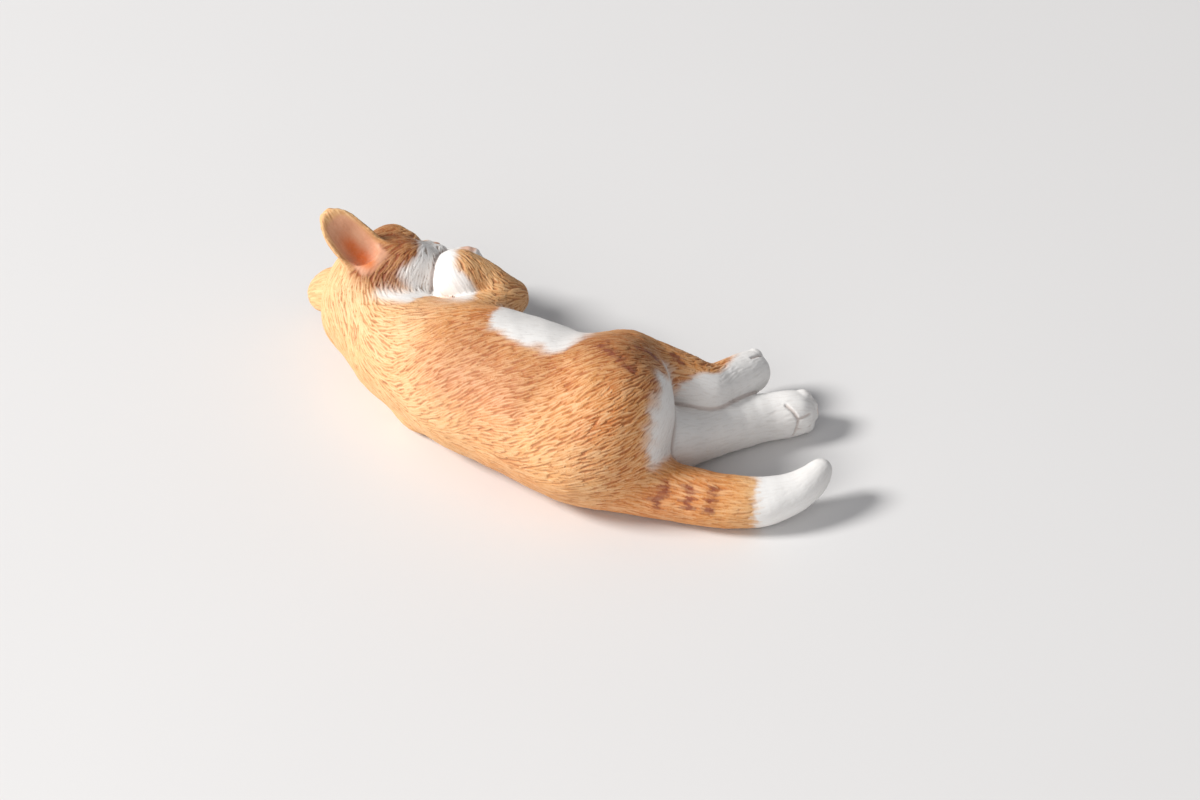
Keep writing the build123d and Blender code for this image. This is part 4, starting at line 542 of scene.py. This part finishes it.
# ------------------------------------------------------------------ hair strokes, carved one by one
area = float(np.linalg.norm(np.cross(P1[Q1[:, 2]] - P1[Q1[:, 0]], P1[Q1[:, 3]] - P1[Q1[:, 1]]), axis=1).sum() / 2)
pick = np.unique(rng.integers(0, len(P2), int(area / 0.16)))
rng.shuffle(pick)
C, CN = P2[pick].astype(float), N2[pick].astype(float)
CV = {k: V2[k][pick] for k in KEYS}
CF = flow(C, CN, CV)


def thin_out(pos, nor, d, half_long, half_wide):
    """Keep strokes in turn, none closer to another than half_long along and half_wide across the lie of the hair."""
    size = half_long + 0.05
    cellk = np.floor((pos - LO) / size).astype(int)
    side_ = np.cross(nor, d)
    grid = {}; keep = []
    px, dd, ss = pos.tolist(), d.tolist(), side_.tolist()
    for i, (cx, cy, cz) in enumerate(cellk.tolist()):
        x, y, w_ = px[i]; d0, d1, d2 = dd[i]; s0_, s1_, s2_ = ss[i]
        hit = False
        for ix in (cx - 1, cx, cx + 1):
            for iy in (cy - 1, cy, cy + 1):
                for iz in (cz - 1, cz, cz + 1):
                    for k in grid.get((ix, iy, iz), ()):
                        qx, qy, qz = px[k]
                        ex, ey, ez = qx - x, qy - y, qz - w_
                        if abs(ex * d0 + ey * d1 + ez * d2) < half_long and abs(ex * s0_ + ey * s1_ + ez * s2_) < half_wide:
                            hit = True; break
                    if hit:
                        break
                if hit:
                    break
            if hit:
                break
        if not hit:
            grid.setdefault((cx, cy, cz), []).append(i); keep.append(i)
    return np.array(keep)


kept = thin_out(C, CN, CF, 1.65, 0.39)
C, CN, CF, pick = C[kept], CN[kept], CF[kept], pick[kept]
CV = {k: V2[k][pick] for k in KEYS}
CM = {k: M2[k][pick] for k in M2}
ang = np.radians(rng.normal(0, 4.5, len(C)))[:, None]
CF = CF * np.cos(ang) + np.cross(CN, CF) * np.sin(ang)
CS = np.cross(CN, CF)
_, clo = parts_min(CV)
on_head = np.exp(-np.maximum(CV["head"] - clo, 0) / 0.6)
cheek = on_head * CM["white"]
SL = rng.uniform(2.9, 4.3, len(C)) * (1 + 0.15 * cheek)
SW = rng.uniform(0.28, 0.37, len(C)) * (1 + 0.25 * cheek)
SK = rng.normal(0, 0.03, len(C))
SH = rng.uniform(0.6, 1.0, len(C))
TONE = rng.uniform(0, 1, len(C))


def bins(p, size):
    b = np.floor((p - LO) / size).astype(np.int64)
    return (b[:, 0] * 4096 + b[:, 1]) * 4096 + b[:, 2]


SIZE = 2.45
vb = bins(P2, SIZE); order = np.argsort(vb, kind="stable"); vbs = vb[order]
best = np.zeros(len(P2), np.int64)
cb = bins(C, SIZE)
for dx in (-1, 0, 1):
    for dy in (-1, 0, 1):
        for dz in (-1, 0, 1):
            kk = cb + (dx * 4096 + dy) * 4096 + dz
            s0 = np.searchsorted(vbs, kk, "left"); s1 = np.searchsorted(vbs, kk, "right")
            cnt = s1 - s0
            act = np.nonzero(cnt)[0]
            if not len(act):
                continue
            for blk in np.array_split(act, max(1, int(cnt[act].sum() / 3e6))):
                cn = cnt[blk]
                sid = np.repeat(blk, cn)
                offs = np.arange(cn.sum()) - np.repeat(np.cumsum(cn) - cn, cn)
                vid = order[np.repeat(s0[blk], cn) + offs]
                rel = P2[vid] - C[sid]
                a = (rel * CF[sid]).sum(1); b = (rel * CS[sid]).sum(1); h = (rel * CN[sid]).sum(1)
                b = b - SK[sid] * a * a
                u = a / SL[sid] + 0.5
                ok = (u > 0) & (u < 1) & (np.abs(h) < 1.4) & ((N2[vid] * CN[sid]).sum(1) > 0.3)
                vid, sid, u, b = vid[ok], sid[ok], u[ok], b[ok]
                w = SW[sid] * np.minimum(1.0, 0.5 + 2.2 * u) * np.clip((1 - u) * 3.0, 0, 1) ** 0.6
                r = b / np.maximum(w, 0.05)
                ok = np.abs(r) < 1
                vid, sid, u, r = vid[ok], sid[ok], u[ok], r[ok]
                hh = 0.5 * SH[sid] + 0.15 * u + 0.35 * np.sqrt(1 - r * r)
                np.maximum.at(best, vid, (np.rint(hh * 1e6).astype(np.int64) << 20) | sid)
lift = (best >> 20) / 1e6
sid = (best & ((1 << 20) - 1)).astype(np.int64)
bare = lift <= 0
rel = P2 - C[sid]
a_ = (rel * CF[sid]).sum(1); b_ = (rel * CS[sid]).sum(1) - SK[sid] * a_ * a_
u_ = np.clip(a_ / SL[sid] + 0.5, 0, 1)
w_ = SW[sid] * np.minimum(1.0, 0.5 + 2.2 * u_) * np.clip((1 - u_) * 3.0, 0, 1) ** 0.6
r_ = np.clip(np.abs(b_) / np.maximum(w_, 0.05), 0, 1)
hgt = np.where(bare, 0.42, np.sqrt(1 - r_ ** 2) * (0.8 + 0.2 * u_))
lift = np.where(bare, 0.35, lift)
EDG = np.concatenate([Q2[:, [0, 1]], Q2[:, [1, 2]], Q2[:, [2, 3]], Q2[:, [3, 0]]])


def smooth(val, rounds=1, k=0.5):
    for _ in range(rounds):
        acc = np.bincount(EDG[:, 0], val[EDG[:, 1]], len(val)) + np.bincount(EDG[:, 1], val[EDG[:, 0]], len(val))
        num = np.bincount(EDG[:, 0], minlength=len(val)) + np.bincount(EDG[:, 1], minlength=len(val))
        val = val * (1 - k) + k * acc / np.maximum(num, 1)
    return val


fur = smooth(hgt, 1, 0.15)
rise = smooth(lift, 1, 0.4)
tone = smooth(np.where(bare, 0.4, TONE[sid]), 1, 0.3)
for name in ("white", "mark", "brown", "pale"):
    own = {"white": 0.62, "mark": 0.35, "brown": 0.6, "pale": 0.6}[name]
    M2[name] = own * M2[name] + (1 - own) * smooth(np.where(bare, M2[name], CM[name][sid]), 1, 0.4)
soft_area = np.clip(M2["white"], 0, 1)
amp = 0.30 * (1 - 0.75 * soft_area)
cheekv = np.exp(-np.maximum(V2["head"] - parts_min(V2)[1], 0) / 0.6) * M2["white"]
amp = amp + 0.16 * cheekv
smoothskin = np.maximum.reduce([M2["pink"], M2["nose"], M2["pads"]])
amp = amp * (1 - 0.85 * smoothskin) * sstep(0.1, 1.2, P2[:, 2])
earw = np.exp(-np.maximum(np.minimum(V2["ear_r"], V2["ear_l"]) - parts_min(V2)[1], 0) / 0.6)
tailw = np.exp(-np.maximum(V2["tail"] - parts_min(V2)[1], 0) / 0.6)
amp = amp * (1 - 0.65 * earw) * (1 - 0.45 * tailw)
back_edge = sstep(-24.0, -29.0, P2[:, 1]) * sstep(16.0, 8.0, P2[:, 2])
amp = amp * (1 - 0.45 * back_edge)
eye = lines_dist(P2, EYES); mouth = lines_dist(P2, MOUTH)
toe_d = lines_dist(P2, TOES)
cut = 0.30 * sstep(0.6, 0.1, toe_d) + 0.42 * sstep(0.55, 0.1, eye) + 0.35 * sstep(0.5, 0.1, mouth)
lump = 0.09 * wave(P2, 8.0, 31) + 0.02 * wave(P2, 3.4, 32)
crease = np.zeros(len(P2))
for ka, kb in (("shin_r", "leg_l"), ("thigh_r", "leg_l"), ("torso", "leg_l"), ("arm_r", "head"), ("tail", "leg_l"), ("ear_l", "neck")):
    va, vb_ = V2[ka], V2[kb]
    crease = np.maximum(crease, sstep(1.0, 0.1, np.abs(va - vb_)) * sstep(1.8, 0.7, np.maximum(va, vb_)))
P3 = (P2 + N2 * (-0.32 * crease + amp * (0.85 * (fur - 0.7) + 0.8 * (rise - 0.8)) - cut + lump * sstep(0.1, 1.5, P2[:, 2]))[:, None]).astype(F32)
P3[:, 2] = np.maximum(P3[:, 2], 0.0)
depth = (1 - 0.88 * soft_area) * (1 - 0.85 * smoothskin) * (1 - 0.55 * back_edge) * (1 - 0.5 * earw) * (1 - 0.4 * tailw)
depth = np.clip(np.maximum(depth, 0.95 * cheekv), 0, 1)
dark = np.maximum(sstep(0.5, 0.15, eye), 0.8 * sstep(0.45, 0.15, mouth))
flank = (1 - M2["white"]) * np.exp(-(((P2 - A(-4.0, -20.0, 20.0)) / A(15.0, 11.0, 9.0)) ** 2).sum(1))
ATTR = {"fur": fur, "tone": tone, "white": M2["white"], "brown": M2["brown"], "pale": M2["pale"], "mark": M2["mark"],
        "pink": np.maximum.reduce([M2["pink"], 0.8 * M2["pads"], 0.30 * flank]), "deep": M2["ear_deep"], "line": dark, "depth": depth,
        "crease": np.maximum(crease, 0.9 * sstep(0.5, 0.1, toe_d))}


# ------------------------------------------------------------------ one closed piece per luted part
def clean_labels():
    cen = P0[Q0].mean(1).astype(F32)
    _, v = in_chunks(field, cen)
    m, _ = parts_min(v)
    nodes = sorted(set(NODE_OF.values()))
    lab = np.array([nodes.index(NODE_OF[k]) for k in KEYS])[m.argmin(1)]
    lab[(ear_bowl(cen) < 0.9) & (np.linalg.norm(cen - EAR_B - ear_ax * 4.0, axis=1) < 9.5)] = nodes.index("right_ear")
    e = {}
    nb = np.full((len(Q0), 4), -1, np.int64)
    for side in range(4):
        a = Q0[:, side]; b = Q0[:, (side + 1) % 4]
        for i, (x, y) in enumerate(zip(np.minimum(a, b).tolist(), np.maximum(a, b).tolist())):
            o = e.setdefault((x, y), (i, side))
            if o[0] != i:
                nb[i, side] = o[0]; nb[o[0], o[1]] = i
    for _ in range(12):
        same = (lab[nb] == lab[:, None]).sum(1)
        bad = np.nonzero(same <= 1)[0]
        if not len(bad):
            break
        for i in bad:
            vals, cnt = np.unique(lab[nb[i]], return_counts=True)
            lab[i] = vals[cnt.argmax()]
    # keep the largest patch of each label, give the rest to what surrounds them
    for _ in range(6):
        comp = np.full(len(Q0), -1); n_c = 0; sizes = []
        for i in range(len(Q0)):
            if comp[i] >= 0 or lab[i] < 0:
                continue
            stack = [i]; comp[i] = n_c; cnt = 0
            while stack:
                k = stack.pop(); cnt += 1
                for j in nb[k]:
                    if comp[j] < 0 and lab[j] == lab[k]:
                        comp[j] = n_c; stack.append(j)
            sizes.append(cnt); n_c += 1
        first = np.array([lab[np.nonzero(comp == k)[0][0]] for k in range(n_c)]); sizes = np.array(sizes)
        keep = {int(np.nonzero(first == q)[0][sizes[first == q].argmax()]) for q in np.unique(first)}
        stray = [k for k in range(n_c) if k not in keep]
        if not stray:
            break
        for k in stray:
            mem = np.nonzero(comp == k)[0]
            around = lab[nb[mem]].ravel(); around = around[around != lab[mem[0]]]
            vals, cnt = np.unique(around, return_counts=True)
            lab[mem] = vals[cnt.argmax()] if len(vals) else -1
    return nodes, lab


def piece_mesh(name, faces):
    """The skin patch closed inside by fans to a point below each open edge loop."""
    used, inv = np.unique(faces, return_inverse=True)
    q = inv.reshape(-1, 4)
    co = P3[used].astype(float)
    e = np.concatenate([q[:, [0, 1]], q[:, [1, 2]], q[:, [2, 3]], q[:, [3, 0]]])
    code = np.minimum(e[:, 0], e[:, 1]).astype(np.int64) * (len(co) + 1) + np.maximum(e[:, 0], e[:, 1])
    _, first, cnt = np.unique(code, return_index=True, return_counts=True)
    open_e = e[first[cnt == 1]]
    nxt = {}
    for a, b in open_e.tolist():
        nxt.setdefault(a, []).append(b)
    tris = []; apex = []; sharp = set(); hidden = []
    while nxt:
        a = next(iter(nxt)); loop = [a]
        while True:
            outs = nxt.get(loop[-1])
            if not outs:
                break
            b = outs.pop()
            if not outs:
                del nxt[loop[-1]]
            if b == loop[0]:
                break
            loop.append(b)
        # a short wall straight in from the edge, then a fan to a point well inside
        ring = co[loop]; rn = N2[used[loop]].astype(float)
        wall = ring - rn * 0.45
        cen = ring.mean(0); mn = rn.mean(0)
        cands = [cen - mn * s for s in (0, 1.5, 3, 5, 7, 9)] + [cen + d * s for s in (1.5, 3.5) for d in np.vstack([np.eye(3), -np.eye(3)])]
        cands = np.array(cands, F32)
        sd = field(cands)[0]
        score = []
        for q_, s_ in zip(cands, sd):
            seg = np.concatenate([wall * (1 - u) + q_ * u for u in (0.15, 0.35, 0.6, 0.8)]).astype(F32)
            score.append(int((field(seg)[0] > -0.12).sum()) * 10.0 + max(0.0, 1.0 + float(s_)))
        at = cands[int(np.argmin(score))].astype(float)
        rings = [wall] + [wall * (1 - u) + at * u for u in (0.2, 0.4, 0.6, 0.8)] + [at[None]]
        for k_ in range(1, len(rings)):
            pt = rings[k_].astype(F32)
            for _ in range(7):
                d0 = field(pt)[0]
                g = np.stack([field(pt + np.eye(3, dtype=F32)[m_] * 0.1)[0] - d0 for m_ in range(3)], 1) / 0.1
                pt = (pt - g * np.clip(d0 + 0.75, 0, 0.8)[:, None] / np.maximum((g * g).sum(1), 0.2)[:, None]).astype(F32)
            rings[k_] = pt.astype(float)
        base = len(co) + sum(len(x) for x in apex)
        apex.append(np.vstack(rings)); n_ = len(loop); k = base + 5 * n_
        hidden.append((base, list(loop)))
        for i in range(n_):
            i2 = (i + 1) % n_
            u, w = loop[i], loop[i2]
            tris.append((w, u, base + i)); tris.append((w, base + i, base + i2))
            for r_i in range(4):
                a0 = base + r_i * n_; a1 = a0 + n_
                tris.append((a0 + i2, a0 + i, a1 + i)); tris.append((a0 + i2, a1 + i, a1 + i2))
            tris.append((base + 4 * n_ + i2, base + 4 * n_ + i, k))
            sharp.add((min(u, w), max(u, w)))
    me = bpy.data.meshes.new(name)
    allco = np.vstack([co] + apex) * MM
    loops = np.concatenate([q.ravel(), np.array(tris, np.int64).ravel()]) if tris else q.ravel()
    me.vertices.add(len(allco)); me.vertices.foreach_set("co", allco.astype(F32).ravel())
    me.loops.add(len(loops)); me.loops.foreach_set("vertex_index", loops.astype(np.int32))
    me.polygons.add(len(q) + len(tris))
    me.polygons.foreach_set("loop_start", np.concatenate([np.arange(len(q)) * 4, len(q) * 4 + np.arange(len(tris)) * 3]).astype(np.int32))
    me.update(calc_edges=True)
    me.validate()
    me.polygons.foreach_set("use_smooth", np.ones(len(me.polygons), bool))
    if sharp:
        ev = np.empty(len(me.edges) * 2, np.int32); me.edges.foreach_get("vertices", ev); ev = np.sort(ev.reshape(-1, 2), 1)
        code = ev[:, 0].astype(np.int64) * (len(allco) + 1) + ev[:, 1]
        want = np.array([a * (len(allco) + 1) + b for a, b in sharp], np.int64)
        at = me.attributes.get("sharp_edge") or me.attributes.new("sharp_edge", "BOOLEAN", "EDGE")
        at.data.foreach_set("value", np.isin(code, want))
    for key, val in ATTR.items():
        at = me.attributes.new(key, "FLOAT", "POINT")
        fill = float(np.median(val[used])) if key in ("white", "brown", "pale") else (0.8 if key == "fur" else 0.0)
        data = np.concatenate([val[used], np.full(len(allco) - len(used), fill)]).astype(F32)
        for at0, lp in hidden:
            if key in ("white", "brown", "pale"):
                data[at0:at0 + 5 * len(lp)] = np.tile(val[used[lp]], 5)
        at.data.foreach_set("value", data)
    return me


# ------------------------------------------------------------------ hand-painted matt finish, with painted shade and highlight in its colour
def rgb(r, g, b):
    return (r, g, b, 1.0)


def painted(name, orange, deep, white, grey, gloss=0.58):
    mat = bpy.data.materials.new(name); mat.use_nodes = True
    nt = mat.node_tree; N = nt.nodes; L = nt.links
    bsdf = N["Principled BSDF"]

    def attr(key):
        a = N.new("ShaderNodeAttribute"); a.attribute_type = "GEOMETRY"; a.attribute_name = key
        return a.outputs["Fac"]

    def mix(fac, a, b, mode="MIX"):
        m = N.new("ShaderNodeMix"); m.data_type = "RGBA"; m.blend_type = mode
        for sock, val in ((m.inputs[0], fac), (m.inputs[6], a), (m.inputs[7], b)):
            if isinstance(val, (float, int, tuple)):
                sock.default_value = val
            else:
                L.new(val, sock)
        return m.outputs[2]

    def math_(op, a, b=0.5, clamp=False):
        m = N.new("ShaderNodeMath"); m.operation = op; m.use_clamp = clamp
        for sock, val in ((m.inputs[0], a), (m.inputs[1], b)):
            if isinstance(val, (float, int)):
                sock.default_value = val
            else:
                L.new(val, sock)
        return m.outputs[0]

    def ramp(fac, a, b, lo=0.0, hi=1.0):
        m = N.new("ShaderNodeMapRange"); m.interpolation_type = "SMOOTHSTEP"
        m.inputs[1].default_value = a; m.inputs[2].default_value = b
        m.inputs[3].default_value = lo; m.inputs[4].default_value = hi
        L.new(fac, m.inputs[0])
        return m.outputs[0]

    co = N.new("ShaderNodeTexCoord").outputs["Object"]

    def noise(scale, detail=3.0, rough=0.55):
        t_ = N.new("ShaderNodeTexNoise"); t_.inputs["Scale"].default_value = scale
        t_.inputs["Detail"].default_value = detail; t_.inputs["Roughness"].default_value = rough
        L.new(co, t_.inputs["Vector"])
        return t_.outputs["Fac"]

    fur_, tone_, white_ = attr("fur"), attr("tone"), attr("white")
    brown_and_shade_, pale_and_highlight_, mark_, pink_, deep_, line_, depth_, crease_shade_ = (attr(k) for k in ("brown", "pale", "mark", "pink", "deep", "line", "depth", "crease"))
    big, mid, fine = noise(70, 3), noise(320, 3), noise(1900, 2)
    # the orange coat: darker and redder in the cuts, a thin wash that is partly painted shade; drier and paler on the
    # ridges, partly painted highlight
    groove_wash_and_shade = math_("MULTIPLY", ramp(fur_, 0.84, 0.36), depth_)
    ridge_drybrush_and_highlight = math_("MULTIPLY", ramp(fur_, 0.74, 0.96), depth_)
    coat = mix(ramp(big, 0.35, 0.65), orange, deep)
    # pale: paler paint, partly painted highlight on the nape and low back
    coat = mix(math_("MULTIPLY", pale_and_highlight_, 0.8), coat, rgb(0.84, 0.53, 0.25))
    # brown: darker, redder paint, partly painted shade over the temple and haunch
    coat = mix(brown_and_shade_, coat, rgb(0.235, 0.066, 0.012))
    coat = mix(math_("MULTIPLY", ramp(tone_, 0.35, 1.0), 0.55), coat, mix(0.6, coat, mix(brown_and_shade_, rgb(0.94, 0.64, 0.36), rgb(0.70, 0.36, 0.14))))
    coat = mix(math_("MULTIPLY", ramp(tone_, 0.45, 0.0), 0.40), coat, mix(0.5, coat, rgb(0.40, 0.11, 0.03)))
    # ridge tops lifted towards cream: drybrush, partly painted highlight
    coat = mix(math_("MULTIPLY", ridge_drybrush_and_highlight, 0.72), coat, mix(0.65, coat, mix(brown_and_shade_, rgb(0.96, 0.66, 0.37), rgb(0.72, 0.37, 0.14))))
    # cuts pushed towards a dark red-brown: wash, partly painted shade
    cut_wash_and_shade = math_("MULTIPLY", groove_wash_and_shade, ramp(mid, 0.3, 0.7, 0.65, 1.0))
    coat = mix(math_("MULTIPLY", cut_wash_and_shade, 0.92), coat, mix(0.30, rgb(0.32, 0.065, 0.018), coat))
    # white paint over the bare body: warm white, turned grey-pink in the cuts as painted shade
    wh = mix(ramp(big, 0.3, 0.7), white, mix(0.12, white, grey))
    wh = mix(math_("MULTIPLY", groove_wash_and_shade, 0.95), wh, grey)
    col = mix(white_, coat, wh)
    col = mix(mark_, col, mix(0.15, rgb(0.23, 0.042, 0.015), col))
    pk = mix(ramp(mid, 0.3, 0.7), rgb(0.78, 0.42, 0.26), rgb(0.68, 0.33, 0.20))
    col = mix(pink_, col, pk)
    col = mix(deep_, col, rgb(0.70, 0.19, 0.05))
    col = mix(math_("MULTIPLY", line_, 0.85), col, rgb(0.13, 0.05, 0.03))
    # painted shade: darker where parts meet and in the creases between the toes
    col = mix(math_("MULTIPLY", crease_shade_, 0.6), col, mix(1.0, col, rgb(0.52, 0.40, 0.36), "MULTIPLY"))
    # brush unevenness: faint pale rubbed spots scattered by a fine noise
    col = mix(math_("MULTIPLY", ramp(fine, 0.35, 0.7), 0.05), col, rgb(0.93, 0.80, 0.66))
    L.new(col, bsdf.inputs["Base Color"])
    ro = math_("ADD", ramp(mid, 0.2, 0.8, gloss - 0.06, gloss + 0.10), math_("MULTIPLY", groove_wash_and_shade, 0.10))
    L.new(ro, bsdf.inputs["Roughness"])
    bsdf.inputs["Specular IOR Level"].default_value = 0.38
    bsdf.inputs["Coat Weight"].default_value = 0.04
    bsdf.inputs["Coat Roughness"].default_value = 0.4
    bump = N.new("ShaderNodeBump"); bump.inputs["Distance"].default_value = 0.00012
    bump.inputs["Strength"].default_value = 0.55
    L.new(math_("ADD", math_("MULTIPLY", fine, 0.5), math_("MULTIPLY", mid, 0.5)), bump.inputs["Height"])
    L.new(bump.outputs["Normal"], bsdf.inputs["Normal"])
    return mat


PAINT = painted("hand_painted_coat_and_painted_shade", rgb(0.74, 0.315, 0.085), rgb(0.66, 0.235, 0.055), rgb(0.945, 0.93, 0.91), rgb(0.42, 0.34, 0.29))

nodes, lab = clean_labels()
per = len(Q2) // len(Q0)
lab2 = np.repeat(lab, per)
for i, node in enumerate(nodes):
    me = piece_mesh(node + "_skin", Q2[lab2 == i])
    ob = bpy.data.objects.new(node + "_skin", me)
    bpy.context.scene.collection.objects.link(ob)
    me.materials.append(PAINT)
    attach(ob, "root")
    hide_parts(node)

# ------------------------------------------------------------------ floor, light, camera
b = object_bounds()
low = Vector(b[0]); high = Vector(b[1])
mid_pt = (low + high) / 2


def plain(name, colour, rough):
    mat = bpy.data.materials.new(name); mat.use_nodes = True
    nt = mat.node_tree; bs = nt.nodes["Principled BSDF"]
    co = nt.nodes.new("ShaderNodeTexCoord")
    ns = nt.nodes.new("ShaderNodeTexNoise"); ns.inputs["Scale"].default_value = 9.0
    nt.links.new(co.outputs["Object"], ns.inputs["Vector"])
    mx = nt.nodes.new("ShaderNodeMix"); mx.data_type = "RGBA"
    mx.inputs[6].default_value = colour; mx.inputs[7].default_value = tuple(0.97 * q for q in colour[:3]) + (1.0,)
    nt.links.new(ns.outputs["Fac"], mx.inputs[0])
    nt.links.new(mx.outputs[2], bs.inputs["Base Color"])
    bs.inputs["Roughness"].default_value = rough
    return mat


bpy.ops.mesh.primitive_plane_add(size=4.0, location=(mid_pt.x, mid_pt.y, low.z))
floor = bpy.context.object; floor.name = "floor"
floor.data.materials.append(plain("pale_table", rgb(0.80, 0.79, 0.785), 0.6))


def area_light(name, loc, target, size, power, colour=(1, 1, 1)):
    li = bpy.data.lights.new(name, "AREA"); li.shape = "DISK"; li.size = size; li.energy = power; li.color = colour
    ob = bpy.data.objects.new(name, li); ob.location = loc
    ob.rotation_euler = (Vector(target) - Vector(loc)).to_track_quat("-Z", "Y").to_euler()
    bpy.context.scene.collection.objects.link(ob)
    return ob


world = bpy.data.worlds.new("soft_studio"); world.use_nodes = True
world.node_tree.nodes["Background"].inputs[0].default_value = (0.955, 0.965, 1.0, 1.0)
world.node_tree.nodes["Background"].inputs[1].default_value = 0.27
bpy.context.scene.world = world

RIGHT = Vector((0.8660254, 0.5, 0.0)); AWAY = Vector((-0.5, 0.8660254, 0.0)); UPV = Vector((0, 0, 1))
key_dir = (RIGHT * -0.78 + AWAY * -0.06 + UPV * 0.62).normalized()
area_light("window", mid_pt + key_dir * 3.4, mid_pt, 1.05, 127.0, (1.0, 0.99, 0.975))
fill_dir = (RIGHT * -0.35 + AWAY * -0.80 + UPV * 0.50).normalized()
area_light("reflector", mid_pt + fill_dir * 1.5, mid_pt, 1.2, 6.5, (1.0, 0.99, 0.98))

cam = bpy.data.cameras.new("camera"); cam_ob = bpy.data.objects.new("camera", cam)
bpy.context.scene.collection.objects.link(cam_ob)
cam.lens = 80.0; cam.sensor_width = 36.0
fwd = (AWAY * math.cos(math.radians(40)) - UPV * math.sin(math.radians(40))).normalized()
upd = (AWAY * math.sin(math.radians(40)) + UPV * math.cos(math.radians(40))).normalized()
aim = Vector((mid_pt.x + 0.00675, mid_pt.y + 0.01015, 0.0))
cam_ob.matrix_world = Matrix.Translation(aim - fwd * 0.58674) @ Matrix((
    (RIGHT.x, upd.x, -fwd.x, 0), (RIGHT.y, upd.y, -fwd.y, 0), (RIGHT.z, upd.z, -fwd.z, 0), (0, 0, 0, 1)))
cam.clip_start = 0.01; cam.clip_end = 20
bpy.context.scene.camera = cam_ob
sc = bpy.context.scene
sc.view_settings.view_transform = "Standard"
sc.view_settings.look = "None"

write_size()
